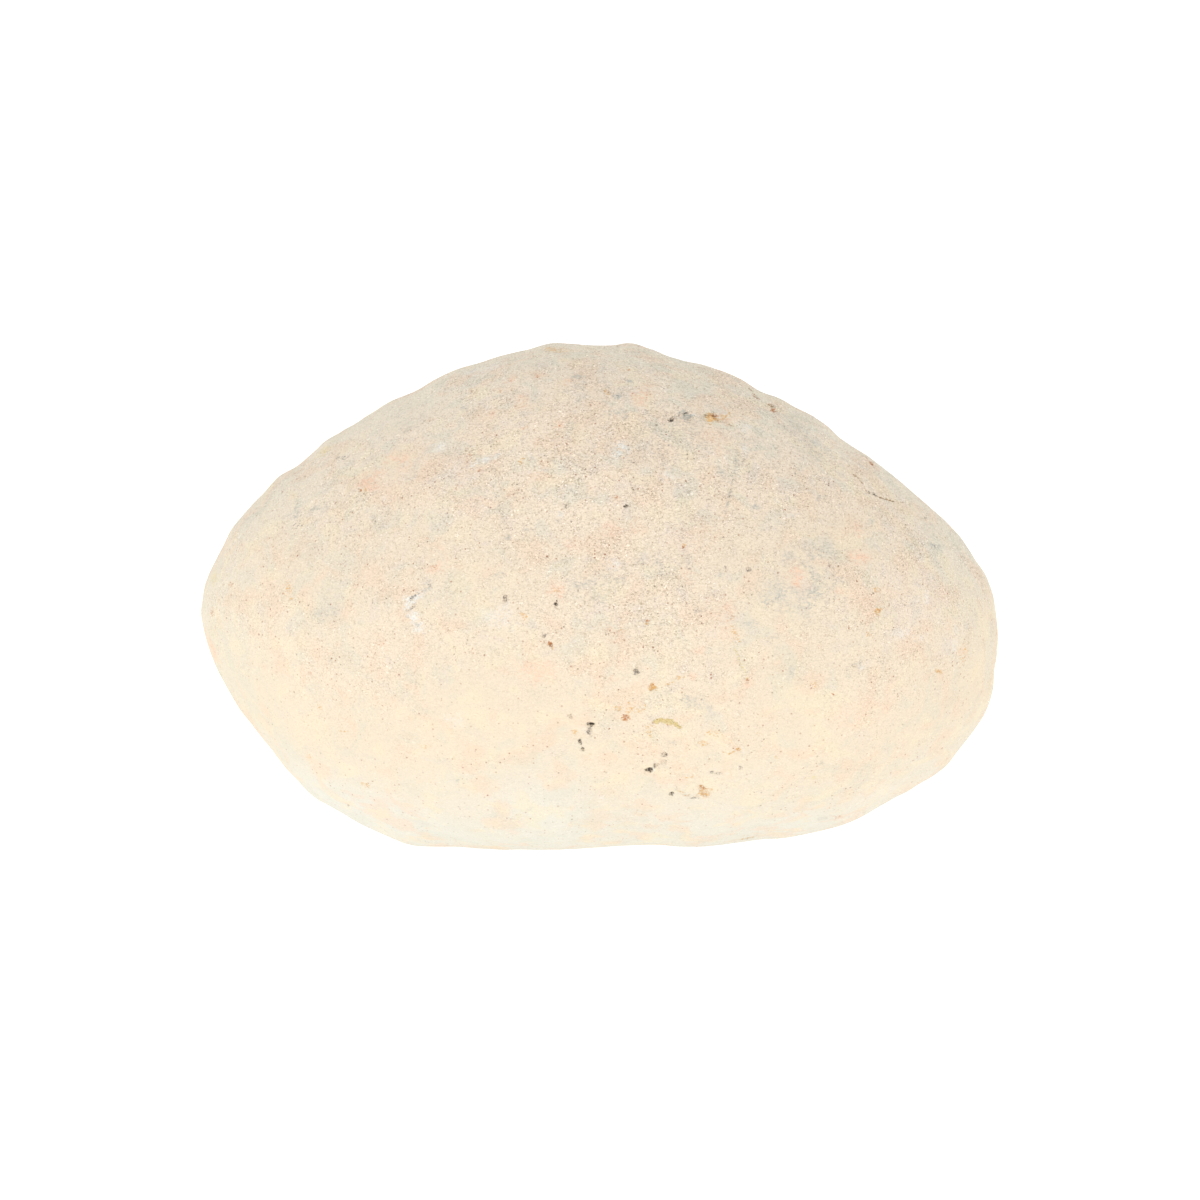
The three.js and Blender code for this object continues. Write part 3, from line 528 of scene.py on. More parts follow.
class Bench:
    """A node tree, and the ways to add nodes to it."""

    def __init__(self, tree: bpy.types.NodeTree) -> None:
        """Starts from an empty tree."""
        self.tree = tree
        tree.nodes.clear()

    def add(self, kind: str, settings: dict[str, Any], sockets: dict[Any, Any]) -> bpy.types.Node:
        """Adds a node.

        Args:
            kind: the node's type.
            settings: its own settings, which are made first.
            sockets: a value or a link for each input, by name or place.
        Returns:
            the node.
        """
        node = self.tree.nodes.new(kind)
        for name, value in settings.items():
            setattr(node, name, value)
        for name, value in sockets.items():
            if isinstance(value, Reading):
                value = value.socket
            if isinstance(value, bpy.types.NodeSocket):
                self.tree.links.new(value, node.inputs[name])
            else:
                node.inputs[name].default_value = value
        return node

    def read(self, node: bpy.types.Node, output: Any = 0) -> "Reading":
        """Wraps one of a node's number outputs."""
        return Reading(self, node.outputs[output])

    def finish(self, sockets: dict[str, Any]) -> None:
        """Ends a material's tree with one shader."""
        shine = self.add("ShaderNodeBsdfPrincipled", {}, sockets)
        self.add("ShaderNodeOutputMaterial", {}, {"Surface": shine.outputs[0]})

    def vector(self, operation: str, place: Any, by: tuple[float, float, float]) -> bpy.types.NodeSocket:
        """Coordinates moved or stretched by a fixed amount."""
        return self.add("ShaderNodeVectorMath", {"operation": operation}, {0: place, 1: by}).outputs[0]

    def blend(self, share: Any, below: Any, above: Any, how: str = "MIX") -> bpy.types.NodeSocket:
        """Lays one colour over another.

        Args:
            share: how much of the upper one shows.
            below: the colour underneath.
            above: the colour on top.
            how: the way they mix.
        Returns:
            the mixed colour.
        """
        below, above = ((*c, 1.0) if isinstance(c, tuple) and len(c) == 3 else c for c in (below, above))
        settings = {"data_type": "RGBA", "blend_type": how}
        return self.add("ShaderNodeMix", settings, {0: share, 6: below, 7: above}).outputs[2]


class Reading:
    """A number that varies over a surface. Sums on it add Math nodes."""

    def __init__(self, bench: Bench, socket: bpy.types.NodeSocket) -> None:
        """Wraps a node's output."""
        self.bench, self.socket = bench, socket

    def _with(self, operation: str, *others: Any, first: Any = None) -> "Reading":
        """Adds the Math node for an operation; first stands before this reading where it is given."""
        terms = (self, *others) if first is None else (first, self)
        node = self.bench.add("ShaderNodeMath", {"operation": operation}, dict(enumerate(terms)))
        return self.bench.read(node)

    def __add__(self, other: Any) -> "Reading":
        """Sum."""
        return self._with("ADD", other)

    def __sub__(self, other: Any) -> "Reading":
        """Difference."""
        return self._with("SUBTRACT", other)

    def __rsub__(self, other: Any) -> "Reading":
        """Difference, from the right."""
        return self._with("SUBTRACT", first=other)

    def __mul__(self, other: Any) -> "Reading":
        """Product."""
        return self._with("MULTIPLY", other)

    __radd__, __rmul__ = __add__, __mul__

    def clip(self) -> "Reading":
        """Held between 0 and 1."""
        return self._with("MAXIMUM", 0.0)._with("MINIMUM", 1.0)

    def size(self) -> "Reading":
        """Without its sign."""
        return self._with("ABSOLUTE")

    def ease(self, low: float, high: float) -> "Reading":
        """A smooth rise from 0 at low to 1 at high, or a fall where low is the greater."""
        node = self.bench.add("ShaderNodeMapRange", {"interpolation_type": "SMOOTHSTEP", "clamp": True}, {
            "Value": self, "From Min": min(low, high), "From Max": max(low, high),
            "To Min": float(low > high), "To Max": float(low < high)})
        return self.bench.read(node)


@dataclass(frozen=True)
class Clouds:
    """Soft clouds, about 0.5 all over."""

    start: tuple[float, float, float]  # where their pattern begins, in metres, so that no two match
    spacing: float  # millimetres from one cloud to the next
    detail: float  # how many finer layers lie on them
    rough: float  # how strong each finer layer is
    bend: float  # how far they are drawn out of shape
    squash: float = 1  # how much flatter than wide they are

    def node(self, bench: Bench, place: Any) -> bpy.types.Node:
        """Adds the clouds.

        Args:
            bench: the tree that they are built in.
            place: the coordinates to read.
        Returns:
            their node.
        """
        if self.squash != 1:
            place = bench.vector("MULTIPLY", place, (1.0, 1.0, self.squash))
        return bench.add("ShaderNodeTexNoise", {"noise_dimensions": "3D"}, {
            "Vector": bench.vector("ADD", place, self.start), "Scale": 1 / (self.spacing * MM),
            "Detail": self.detail, "Roughness": self.rough, "Distortion": self.bend})

    def one(self, bench: Bench, place: Any) -> Reading:
        """A single set of them, as Clouds.node reads it."""
        return bench.read(self.node(bench, place))

    def three(self, bench: Bench, place: Any) -> list[Reading]:
        """Three sets that don't match each other."""
        parts = bench.add("ShaderNodeSeparateColor", {}, {0: self.node(bench, place).outputs["Color"]})
        return [bench.read(parts, number) for number in range(3)]


@dataclass(frozen=True)
class Drift:
    """Drifts of another tint over the crust, where two sets of clouds together are thick enough."""

    tint: Tint
    sets: tuple[tuple[str, int], tuple[str, int]]  # the two sets, by the clouds' name and number
    share: float  # how much the first one counts
    edges: tuple[float, float]  # where a drift begins, and where it is full
    strength: float
    coarse_strength: float = 0  # and how much stronger it is where the crust is coarse

    def over(self, bench: Bench, below: Any, layers: dict[str, list[Reading]], coarse: Reading) -> Any:
        """Lays the drifts over the crust.

        Args:
            bench: the tree that they are built in.
            below: the crust's colour.
            layers: all the clouds, by name.
            coarse: how coarse the crust is.
        Returns:
            the colour with the drifts.
        """
        (first, number), (second, other) = self.sets
        thick = layers[first][number] * self.share + layers[second][other] * (1 - self.share)
        amount = thick.ease(*self.edges) * (coarse * self.coarse_strength + self.strength)
        return bench.blend(amount, below, self.tint)


@dataclass(frozen=True)
class Specks:
    """A layer of tiny round specks through the crust, cut by its surface."""

    tint: Tint
    spacing: float  # millimetres between their middles
    radius: tuple[float, float]  # smallest and largest, in millimetres; those below 0 don't show
    start: tuple[float, float, float]  # where their pattern begins, in metres

    CRISPNESS = 3.0  # how soon a speck is full, inwards from its rim

    def mask(self, bench: Bench, place: Any) -> Reading:
        """Reads the layer.

        Args:
            bench: the tree that it is built in.
            place: the coordinates to read.
        Returns:
            how much of a speck there is.
        """
        node = bench.add("ShaderNodeTexVoronoi", {"feature": "F1"}, {
            "Vector": bench.vector("ADD", place, self.start), "Scale": 1 / (self.spacing * MM),
            "Randomness": 1.0})
        own = bench.read(bench.add("ShaderNodeSeparateColor", {}, {0: node.outputs["Color"]}), 0)
        small, large = (radius / self.spacing for radius in self.radius)
        rim = own * (large - small) + small
        depth = (rim - bench.read(node, "Distance")) * (1 / large)
        return (depth * self.CRISPNESS).clip()


@dataclass(frozen=True)
class CrustFinish:
    """The chalky, weather-worn crust: cream below, greyer and pinker above, specked and stained. Its foot is
    painted paler with the bright floor's light, its flanks carry a painted cool sheen, and its crumbs carry
    painted highlights and shadows.

    Heights and places are in millimetres. A pair of them says where something begins and where it is full.
    """

    cream: Tint = (0.739, 0.633, 0.486)
    # the paler, whiter tint towards the foot is painted light from the bright floor below
    pale: Tint = (0.700, 0.681, 0.603)
    crown: Tint = (0.778, 0.655, 0.515)
    sand: Tint = (0.670, 0.555, 0.420)
    crown_heights: tuple[float, float] = (14, 64)
    foot_heights: tuple[float, float] = (24, 2)
    coarse_places: tuple[float, float] = (-45, 5)  # along the stone
    rim_sheen_depths: tuple[float, float] = (-31, -7)  # from the front, where the painted cool sheen on the flanks begins and is full
    rim_sheen_heights: tuple[float, float] = (2, 26)
    sways: tuple[float, float, float] = (60.0, 24.0, 20.0)  # of the crown's, the foot's and the painted sheen's edges
    # painted sheen: a cooler, greyer cast on the flanks and back above the foot, standing in for the bright
    # surroundings' reflection at the stone's edges
    painted_rim_sheen: Tint = (0.945, 1.005, 1.036)
    swing: Tint = (1.0, 1.08, 1.24)  # how red, green and blue swing together, so that cream keeps its hue
    broad: Clouds = Clouds((0.0, 0.0, 0.0), 26, 3, 0.55, 0.6)
    clouds: dict[str, Clouds] = field(default_factory=lambda: {
        "wide": Clouds((0.31, 0.12, 0.07), 8.5, 2, 0.55, 0.8),
        "patchy": Clouds((0.11, 0.27, 0.33), 3.6, 2, 0.5, 0.6),
        "close": Clouds((0.05, 0.44, 0.21), 2.0, 3, 0.66, 0.5),
        "fine": Clouds((0.17, 0.03, 0.38), 0.50, 1, 0.6, 0.5, 1.4),
        "grain": Clouds((0.23, 0.41, 0.15), 0.28, 0, 0.6, 0, 1.4),
    })
    drifts: tuple[Drift, ...] = (
        Drift((0.770, 0.580, 0.430), (("wide", 0), ("patchy", 0)), 0.5, (0.49, 0.60), 0.42),  # peach
        Drift((0.610, 0.605, 0.500), (("wide", 1), ("patchy", 1)), 0.4, (0.50, 0.62), 0.16, 0.30),  # lichen
        Drift((0.790, 0.690, 0.490), (("wide", 2), ("patchy", 2)), 0.4, (0.50, 0.62), 0.38),  # butter
        Drift((0.620, 0.555, 0.515), (("patchy", 0), ("close", 2)), 0.5, (0.46, 0.37), 0.08, 0.22),  # ash
    )
    reds: Specks = Specks((0.430, 0.215, 0.140), 0.66, (-0.07, 0.165), (0.013, 0.021, 0.034))
    greys: Specks = Specks((0.300, 0.248, 0.170), 0.95, (-0.14, 0.160), (0.055, 0.089, 0.144))
    stains: dict[Stain, Tint] = field(default_factory=lambda: {
        SLATE: (0.500, 0.487, 0.426),
        BLUSH: (0.820, 0.580, 0.425),
        CHALK: (0.805, 0.793, 0.735),
        LEAD: (0.285, 0.250, 0.220),
        OCHRE: (0.710, 0.447, 0.192),
        OLIVE: (0.735, 0.615, 0.335),
        RUST: (0.540, 0.248, 0.126),
        UMBER: (0.355, 0.208, 0.098),
        SOOT: (0.125, 0.102, 0.080),
    })
    coarse_stains: tuple[Stain, ...] = (BLUSH, SLATE, CHALK)
    stain_speckle: float = 1.4  # how strongly the grain breaks up these wide stains
    grain_edges: tuple[float, float] = (-0.4, 0.4)  # where a small stain begins and is full, by the grain
    small_gain: float = 5.0  # how soon a small stain fills, inwards from its rim
    sand_share: float = 0.10  # how much sand lies where the clouds are dense
    grain_grit: float = 0.30  # how far the finest grain lightens and darkens the crust
    fine_grit: float = 0.10  # and the fine one
    crumb_highlight: float = 0.26  # how much lighter crumbs are painted: pale grains with a painted highlight on them
    crumb_shadow_dark: float = 0.19  # how much darker the painted shadow line beside each crumb is
    pepper_dark: float = 0.25
    cloud_rise: float = 0.12  # what each raises the crust by, and below it what each sinks it by
    crumb_rise: float = 0.05
    fine_rise: float = 0.05
    pepper_dip: float = 0.04
    speck_dip: float = 0.06
    hollow_dip: float = 0.04
    roughness: float = 0.92
    hollow_roughness: float = 0.1  # how much smoother the dark hollows are
    specular: float = 0.25

    def material(self) -> bpy.types.Material:
        """Builds the finish.

        Returns:
            the crust's material.
        """
        material = bpy.data.materials.new("geode_crust")
        material.use_nodes = True
        bench = Bench(material.node_tree)
        place = bench.add("ShaderNodeTexCoord", {}, {}).outputs["Object"]
        layers = {name: clouds.three(bench, place) for name, clouds in self.clouds.items()}
        close, fine, grain = layers["close"], layers["fine"], layers["grain"]
        colour, coarse = self._ground(bench, place)
        for drift in self.drifts:
            colour = drift.over(bench, colour, layers, coarse)

        dense = ((close[1] - 0.5) * 1.1 + (layers["wide"][0] - 0.5) * 1.1).ease(-0.12, 0.24)
        colour = bench.blend(dense * coarse * self.sand_share, colour, self.sand)
        strewn = (fine[2] + dense * 0.12 + 0.01).ease(0.545, 0.60) * coarse
        # crumbs are pale grains, painted lighter as if lit, and beside each runs a painted shadow line
        crumbs = (fine[0] - 0.5).size().ease(0.060, 0.030) * strewn
        crumb_shadows = (fine[0] - 0.61).size().ease(0.055, 0.030) * strewn
        pepper = grain[0].ease(0.38, 0.31) * (0.5 + dense * 0.4) * coarse
        grit = ((grain[2] - 0.5) * self.grain_grit + (fine[1] - 0.5) * self.fine_grit) * coarse
        shade = grit + crumbs * self.crumb_highlight - crumb_shadows * self.crumb_shadow_dark - pepper * self.pepper_dark
        tones = bench.add("ShaderNodeCombineColor", {}, {
            channel: shade * swing + 1.0 for channel, swing in enumerate(self.swing)}).outputs[0]
        colour = bench.blend(1.0, colour, tones, "MULTIPLY")

        pricked = (0.5 + dense * 0.5) * (0.72 + coarse * 0.35)
        reds, greys = self.reds.mask(bench, place), self.greys.mask(bench, place)
        colour = bench.blend(reds * pricked, colour, self.reds.tint)
        colour = bench.blend(greys * pricked * 0.9, colour, self.greys.tint)

        speckle = (fine[2] - 0.5) * 1.5 + (grain[1] - 0.5) * 1.4
        ragged = (close[1] * 0.7 + fine[2] * 0.3).ease(0.43, 0.57) + 0.4
        colour, hollows = self._stained(bench, colour, ragged, speckle)

        relief = ((close[1] - 0.5) * self.cloud_rise + crumbs * self.crumb_rise
                  + (fine[1] - 0.5) * self.fine_rise - pepper * self.pepper_dip
                  - (reds + greys) * pricked * self.speck_dip - hollows * self.hollow_dip)
        bump = bench.add("ShaderNodeBump", {}, {"Strength": 1.0, "Distance": MM, "Height": relief})
        bench.finish({"Base Color": colour, "Roughness": self.roughness - hollows * self.hollow_roughness,
                      "Specular IOR Level": self.specular, "Normal": bump.outputs[0]})
        return material

    def _ground(self, bench: Bench, place: Any) -> tuple[Any, Reading]:
        """The crust's plain colour from foot to crown, painted paler at the foot with the floor's light, and
        with a painted cool sheen on the flanks.

        Args:
            bench: the tree that it is built in.
            place: the coordinates to read.
        Returns:
            the colour, and how coarse the crust is.
        """
        axes = bench.add("ShaderNodeSeparateXYZ", {}, {0: place})
        across, back, height = (bench.read(axes, axis) * (1 / MM) for axis in range(3))
        sway = self.broad.one(bench, place) - 0.5
        crown_sway, foot_sway, rim_sheen_sway = (sway * reach for reach in self.sways)
        exposed = (height + crown_sway).ease(*self.crown_heights)
        # painted light: the foot is painted paler, as the bright floor lights it
        painted_foot_light = (height + foot_sway).ease(*self.foot_heights)
        # painted sheen on the flanks and the back, above the foot
        rim_sheen = (back + rim_sheen_sway).ease(*self.rim_sheen_depths) * height.ease(*self.rim_sheen_heights)
        coarse = (exposed * 0.72 + 0.28) * ((across + crown_sway).ease(*self.coarse_places) * 0.22 + 0.74)
        colour = bench.blend(exposed, self.cream, self.crown)
        colour = bench.blend(painted_foot_light, colour, self.pale)
        return bench.blend(rim_sheen, colour, self.painted_rim_sheen, "MULTIPLY"), coarse

    def _stained(self, bench: Bench, colour: Any, ragged: Reading, speckle: Reading) -> tuple[Any, Reading]:
        """Lays the stains over the crust, each broken up by the crust's own grain.

        Args:
            bench: the tree that they are built in.
            colour: the crust's colour without them.
            ragged: what breaks the wide stains up.
            speckle: what breaks the small ones up into grains.
        Returns:
            the stained colour, and how much dark stain there is.
        """
        hollows = None
        for stain, tint in self.stains.items():
            settings = {"attribute_type": "GEOMETRY", "attribute_name": stain.value}
            amount = bench.read(bench.add("ShaderNodeAttribute", settings, {}), "Fac")
            if stain in self.coarse_stains:
                amount = amount * (ragged + speckle * self.stain_speckle)
            else:
                amount = (speckle + amount - 0.5).ease(*self.grain_edges) * (amount * self.small_gain).clip()
                hollows = amount if hollows is None else hollows + amount
            colour = bench.blend(amount.clip(), colour, tint)
        return colour, hollows.clip()


# ------------------------------------------------------------------ the stone


def mesh_of(net: Net, name: str, material: bpy.types.Material) -> bpy.types.Mesh:
    """Turns a net into a mesh of one material, and frees the net."""
    mesh = bpy.data.meshes.new(name)
    net.to_mesh(mesh)
    net.free()
    mesh.materials.append(material)
    return mesh


def stand(name: str, data: Any) -> bpy.types.Object:
    """Puts a mesh, a lamp or a camera into the scene."""
    thing = bpy.data.objects.new(name, data)
    bpy.context.scene.collection.objects.link(thing)
    return thing


@dataclass
class Geode:
    """The whole closed nodule: one piece of stone with its crust, pits, chips and cracks."""

    finish: CrustFinish
    sphere_splits: int = 7  # 81,920 faces before the marks are refined
    merge: float = 1e-3  # the solid's corners that are as close as this are one
    chance: int = 11  # seeds where the pin-heads fall
    half_sizes: tuple[float, float, float] = (60, 42, 38)  # spread the starting net evenly over the stone
    hollow_depth: float = 0.10  # a dip deeper than this is one of the solid's cut hollows, and is filled
    fill_rounds: int = 150
    hollow_rim: int = 2  # how many corners past a hollow's edge are filled with it
    smooth_rounds: int = 9
    smoothing: float = 0.5  # how far each corner moves towards the mean of its neighbours
    regrow: float = 0.06  # what the smoothing takes off the crust
    refine_rounds: int = 4
    refine_beyond: float = 1.6  # how far past a mark's reach the refining looks
    longest_edge: float = 10.0
    slack: float = 1.35  # how much longer than wanted an edge can stay
    rim_reach: float = 1.35  # how far out a mark's ragged rim can lie, by closeness
    growth: float = 0.75  # how fast mesh edges lengthen away from a mark
    raggedness: float = 0.85  # how far a mark's outline wanders, against its half width
    ragged_spacing: float = 0.6  # how quickly it does so, against its width
    shortest_ragged: float = 0.28  # and at least how far from one wave to the next
    wavelet: float = 0.5  # how high the waves' own small waves are
    stain_fade: tuple[float, float] = (0.45, 1.45)  # where a mark's stain fades, by closeness
    wall: tuple[float, float] = (0.35, 1.1)  # and where its hollow rises to the crust
    ripples: tuple[tuple[float, float], ...] = ((7.5, 0.10), (3.4, 0.09), (1.7, 0.045))  # spacing and rise

    def build(self, node: bpy.types.Object) -> bpy.types.Object:
        """Builds and dresses the stone.

        Args:
            node: the solid whose form the crust takes.
        Returns:
            the finished piece.
        """
        mould = self.mould(node)
        net = self.cast(mould)
        self.fill(net)
        for _ in range(self.smooth_rounds):
            bmesh.ops.smooth_vert(net, verts=net.verts, factor=self.smoothing, use_axis_x=True,
                                  use_axis_y=True, use_axis_z=True)
        marks = self.marks()
        seats = self.seats(net, marks)
        self.refine(net, marks, seats)
        amounts = self.weather(net, marks, seats)
        return self.dress(net, amounts)

    def mould(self, node: bpy.types.Object) -> BVHTree:
        """The solid's surface.

        Args:
            node: the solid, whose loose triangles are merged in a copy.
        Returns:
            the surface, in millimetres from the section's middle.
        """
        copy = bmesh.new()
        copy.from_mesh(node.data)
        bmesh.ops.scale(copy, vec=Vector((1 / MM,) * 3), verts=copy.verts)
        bmesh.ops.translate(copy, vec=Vector(-MIDDLE), verts=copy.verts)
        bmesh.ops.remove_doubles(copy, verts=copy.verts, dist=self.merge)
        tree = BVHTree.FromBMesh(copy)
        copy.free()
        return tree

    def cast(self, mould: BVHTree) -> Net:
        """An even net of triangles, blown out of the stone's middle onto the solid's surface."""
        net = bmesh.new()
        bmesh.ops.create_icosphere(net, subdivisions=self.sphere_splits, radius=1)
        stretch = Vector(self.half_sizes)
        for corner in net.verts:
            heading = (corner.co * stretch).normalized()
            corner.co = mould.ray_cast(Vector(), heading)[0]
        return net

    def fill(self, net: Net) -> None:
        """Fills the solid's coarse hollows, which the marks cut again with finer ones."""
        spots, ends = self._arrays(net)
        count = np.bincount(ends.ravel(), minlength=len(spots))[:, None]

        def around(places: np.ndarray) -> np.ndarray:
            """The mean of each corner's neighbours."""
            total = np.empty_like(places)
            for axis in range(3):
                total[:, axis] = (np.bincount(ends[:, 0], places[ends[:, 1], axis], len(places))
                                  + np.bincount(ends[:, 1], places[ends[:, 0], axis], len(places)))
            return total / count

        heading = spots / np.linalg.norm(spots, axis=1)[:, None]
        full = spots.copy()
        for _ in range(self.fill_rounds):
            rise = np.maximum(((around(full) - full) * heading).sum(1), 0)
            full += rise[:, None] * heading
        hollow = ((full - spots) * heading).sum(1) > self.hollow_depth
        for _ in range(self.hollow_rim):
            touched = hollow[ends].any(1)
            hollow[ends[touched].ravel()] = True
        for _ in range(self.fill_rounds):
            spots[hollow] = around(spots)[hollow]
        self._place(net, spots)

    def marks(self) -> list[Mark | Trace]:
        """Every mark on the stone, the strewn specks among them."""
        lot = random.Random(self.chance)
        return [*FRONT_MARKS, *OTHER_MARKS, *(mark for strewn in PIN_HEADS for mark in strewn.marks(lot))]

    def seats(self, net: Net, marks: list[Mark | Trace]) -> list[list[np.ndarray]]:
        """Where each mark's anchors lie on the crust.

        Args:
            net: the crust.
            marks: the marks.
        Returns:
            for each mark its anchors' places, from the section's middle.
        """
        tree = BVHTree.FromBMesh(net)
        places = []
        for mark in marks:
            side, found = mark.side, []
            for across, up in mark.anchors():
                start = side.across * across + side.up * up - side.inward * OUTSIDE
                hit = tree.ray_cast(Vector(start), Vector(side.inward))[0]
                if hit is not None:
                    found.append(np.array(hit))
            places.append(found if len(found) == len(mark.anchors()) else [])
        return places

    def refine(self, net: Net, marks: list[Mark | Trace],
               seats: list[list[np.ndarray]]) -> None:
        """Splits the net's edges until each mark's outline can show, and drops slivers that fold up.

        Args:
            net: the crust.
            marks: the marks.
            seats: where they lie.
        """
        for _ in range(self.refine_rounds):
            spots, ends = self._arrays(net)
            wanted = np.full(len(spots), self.longest_edge)
            for mark, places in zip(marks, seats):
                if not places or mark.grain >= Mark.COARSE:
                    continue
                near = self._near(spots, places, mark.reach + self.refine_beyond / self.growth)
                rim = mark.closeness(spots[near], places)
                beyond = np.maximum(rim - self.rim_reach, 0) * mark.breadth / 2
                wanted[near] = np.minimum(wanted[near], mark.grain + beyond * self.growth)
            lengths = np.linalg.norm(spots[ends[:, 0]] - spots[ends[:, 1]], axis=1)
            longer = lengths > self.slack * wanted[ends].min(1)
            net.edges.ensure_lookup_table()
            split = [net.edges[i] for i in np.nonzero(longer)[0]]
            if not split:
                break
            bmesh.ops.subdivide_edges(net, edges=split, cuts=1, use_grid_fill=True)
            bmesh.ops.triangulate(net, faces=net.faces)
        sheets: dict[frozenset, list[bmesh.types.BMFace]] = {}
        for face in net.faces:
            sheets.setdefault(frozenset(face.verts), []).append(face)
        folded = [face for pair in sheets.values() if len(pair) > 1 for face in pair]
        bmesh.ops.delete(net, geom=folded, context="FACES")

    def weather(self, net: Net, marks: list[Mark | Trace],
                seats: list[list[np.ndarray]]) -> dict[Stain, np.ndarray]:
        """Raises the crust's own relief, cuts the marks into it and lays their stains.

        Args:
            net: the crust.
            marks: the marks.
            seats: where they lie.
        Returns:
            for each stain how much of it lies on each corner.
        """
        net.normal_update()
        spots, _ = self._arrays(net)
        outward = np.array([corner.normal for corner in net.verts])
        lift = np.full(len(spots), self.regrow)
        for start, (spacing, rise) in enumerate(self.ripples):
            lift += rise * self._noise(spots, spacing, start)
        for swell in SWELLS:
            lift += swell.lift(spots)
        amounts = {stain: np.zeros(len(spots)) for stain in Stain}
        for number, (mark, places) in enumerate(zip(marks, seats)):
            if not places:
                log.info("a %s mark on the %s at %s misses the stone", mark.stain.value, mark.side.label,
                         mark.anchors()[0])
                continue
            near = self._near(spots, places, mark.reach)
            spacing = max(mark.breadth * self.ragged_spacing, self.shortest_ragged)
            waves = self._noise(spots[near], spacing, number)
            wavelets = self._noise(spots[near], spacing / 2, number)
            rim = mark.closeness(spots[near], places) + self.raggedness * (waves + self.wavelet * wavelets)
            amount = mark.strength * (1 - ease(rim, *self.stain_fade))
            amounts[mark.stain][near] = np.maximum(amounts[mark.stain][near], amount)
            if mark.depth:
                lift[near] -= mark.depth * (1 - ease(rim, *self.wall))
        spots += lift[:, None] * outward
        spots[:, 2] = np.maximum(spots[:, 2], -MIDDLE[2])
        self._place(net, spots)
        return amounts

    def dress(self, net: Net, amounts: dict[Stain, np.ndarray]) -> bpy.types.Object:
        """Makes the piece from the net, with its stains and its finish.

        Args:
            net: the crust, in millimetres from the section's middle.
            amounts: how much of each stain lies on each corner.
        Returns:
            the piece.
        """
        bmesh.ops.translate(net, vec=Vector(MIDDLE), verts=net.verts)
        bmesh.ops.scale(net, vec=Vector((MM,) * 3), verts=net.verts)
        mesh = mesh_of(net, "geode_stone", self.finish.material())
        for stain, amount in amounts.items():
            layer = mesh.attributes.new(stain.value, "FLOAT", "POINT")
            layer.data.foreach_set("value", amount.astype(np.float32))
        mesh.polygons.foreach_set("use_smooth", [True] * len(mesh.polygons))
        return stand("geode_stone", mesh)

    @staticmethod
    def _arrays(net: Net) -> tuple[np.ndarray, np.ndarray]:
        """The net's corners, and the two ends of each edge."""
        net.verts.index_update()
        spots = np.array([corner.co for corner in net.verts])
        return spots, np.array([(edge.verts[0].index, edge.verts[1].index) for edge in net.edges])

    @staticmethod
    def _place(net: Net, spots: np.ndarray) -> None:
        """Moves the net's corners to new places."""
        for corner, spot in zip(net.verts, spots):
            corner.co = spot

    @staticmethod
    def _near(spots: np.ndarray, places: list[np.ndarray], reach: float) -> np.ndarray:
        """The numbers of the spots within reach of any of the places or of the lines between them."""
        close = np.zeros(len(spots), bool)
        for before, after in zip(places, places[1:] or places):
            way = after - before
            share = np.clip((spots - before) @ way / max(way @ way, 1e-9), 0, 1)
            close |= np.linalg.norm(spots - before - share[:, None] * way, axis=1) < reach
        return np.nonzero(close)[0]

    @staticmethod
    def _noise(spots: np.ndarray, spacing: float, start: float) -> np.ndarray:
        """Smooth chance values about 0, with one swing per spacing, that differ from start to start."""
        return np.array([noise.noise(Vector(spot)) for spot in spots / spacing + NOISE_STEP * (start + 1)])


# ------------------------------------------------------------------ the studio


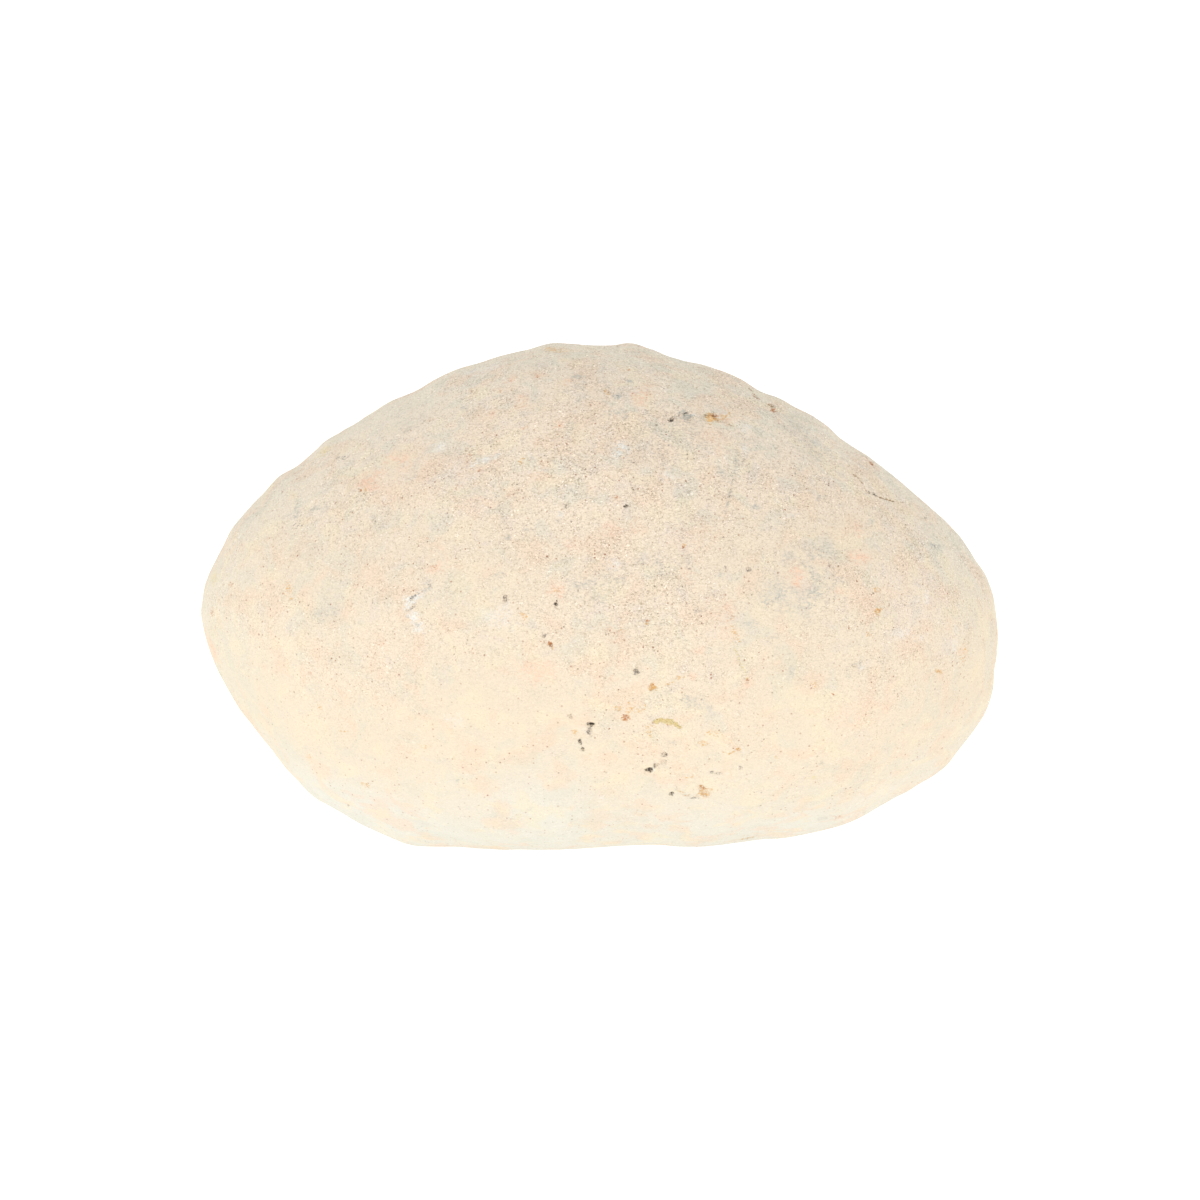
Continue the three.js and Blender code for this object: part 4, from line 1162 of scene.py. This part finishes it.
@dataclass
class Studio:
    """The white sweep that the stone lies on, its soft light and the camera."""

    target: tuple[float, float, float] = (0.17, -0.16, 35.86)  # what the camera and the box look at
    distance: float = 428.2  # from the target to the camera
    elevation: float = 8  # of the camera over the target, in degrees
    lens: float = 85
    film: float = 36
    clip: tuple[float, float] = (10, 50000)
    floor_size: float = 6000
    floor_glow: float = 0.83
    floor_tone: float = 0.5
    floor_roughness: float = 0.9
    horizon: Tint = (1.40, 1.39, 1.38)
    zenith: Tint = (0.80, 0.82, 0.85)
    sky_band: tuple[float, float] = (0.18, 0.95)  # where the horizon's tone ends and the zenith's is full
    box_power: float = 1.1  # in watts
    box_size: float = 700
    box_at: tuple[float, float, float] = (-750, -850, 220)

    def build(self) -> bpy.types.Object:
        """Builds the floor, the sky, the light and the camera.

        Returns:
            the floor.
        """
        self._sky()
        self._light()
        self._camera()
        return self._floor()

    def _floor(self) -> bpy.types.Object:
        """A wide pale floor."""
        net = bmesh.new()
        bmesh.ops.create_grid(net, x_segments=1, y_segments=1, size=self.floor_size * MM / 2)
        material = bpy.data.materials.new("pale_floor")
        material.use_nodes = True
        Bench(material.node_tree).finish({
            "Base Color": (self.floor_tone,) * 3 + (1.0,), "Roughness": self.floor_roughness,
            "Specular IOR Level": 0.0, "Emission Color": (1.0, 1.0, 1.0, 1.0),
            "Emission Strength": self.floor_glow})
        return stand("floor", mesh_of(net, "floor", material))

    def _sky(self) -> None:
        """Light from all round, brightest near the horizon."""
        world = bpy.data.worlds.new("sweep")
        bpy.context.scene.world = world
        world.use_nodes = True
        bench = Bench(world.node_tree)
        heading = bench.add("ShaderNodeTexCoord", {}, {}).outputs["Generated"]
        rise = bench.read(bench.add("ShaderNodeSeparateXYZ", {}, {0: heading}), 2)
        colour = bench.blend(rise.ease(*self.sky_band), self.horizon, self.zenith)
        glow = bench.add("ShaderNodeBackground", {}, {"Color": colour, "Strength": 1.0})
        bench.add("ShaderNodeOutputWorld", {}, {"Surface": glow.outputs[0]})

    def _light(self) -> None:
        """One big soft box, low on the left in front."""
        lamp = bpy.data.lights.new("soft_box", "AREA")
        lamp.shape = "SQUARE"
        lamp.size = self.box_size * MM
        lamp.energy = self.box_power
        box = stand("soft_box", lamp)
        box.location = Vector(self.box_at) * MM
        box.rotation_euler = (Vector(self.target) - Vector(self.box_at)).to_track_quat("-Z", "Y").to_euler()

    def _camera(self) -> None:
        """The camera, a little above the stone and straight in front."""
        camera = bpy.data.cameras.new("camera")
        camera.lens = self.lens
        camera.sensor_width = self.film
        camera.clip_start, camera.clip_end = (end * MM for end in self.clip)
        tripod = stand("camera", camera)
        tilt = math.radians(self.elevation)
        back = Vector((0, -math.cos(tilt), math.sin(tilt))) * self.distance
        tripod.location = (Vector(self.target) + back) * MM
        tripod.rotation_euler = (math.pi / 2 - tilt, 0, 0)
        bpy.context.scene.camera = tripod


def main() -> None:
    """Builds the studio and the stone, and logs what each piece is."""
    logging.basicConfig(level=logging.INFO, format="%(name)s: %(message)s", stream=sys.stdout)
    view = bpy.context.scene.view_settings
    view.view_transform, view.look = "Standard", "None"
    Studio().build()
    log.info("studio: floor, sky, soft box and camera")
    stone = Geode(CrustFinish()).build(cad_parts["geode"])
    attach(stone, "root")
    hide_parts("geode")
    log.info("%s: %d faces", stone.name, len(stone.data.polygons))


if __name__ == "__main__":
    main()
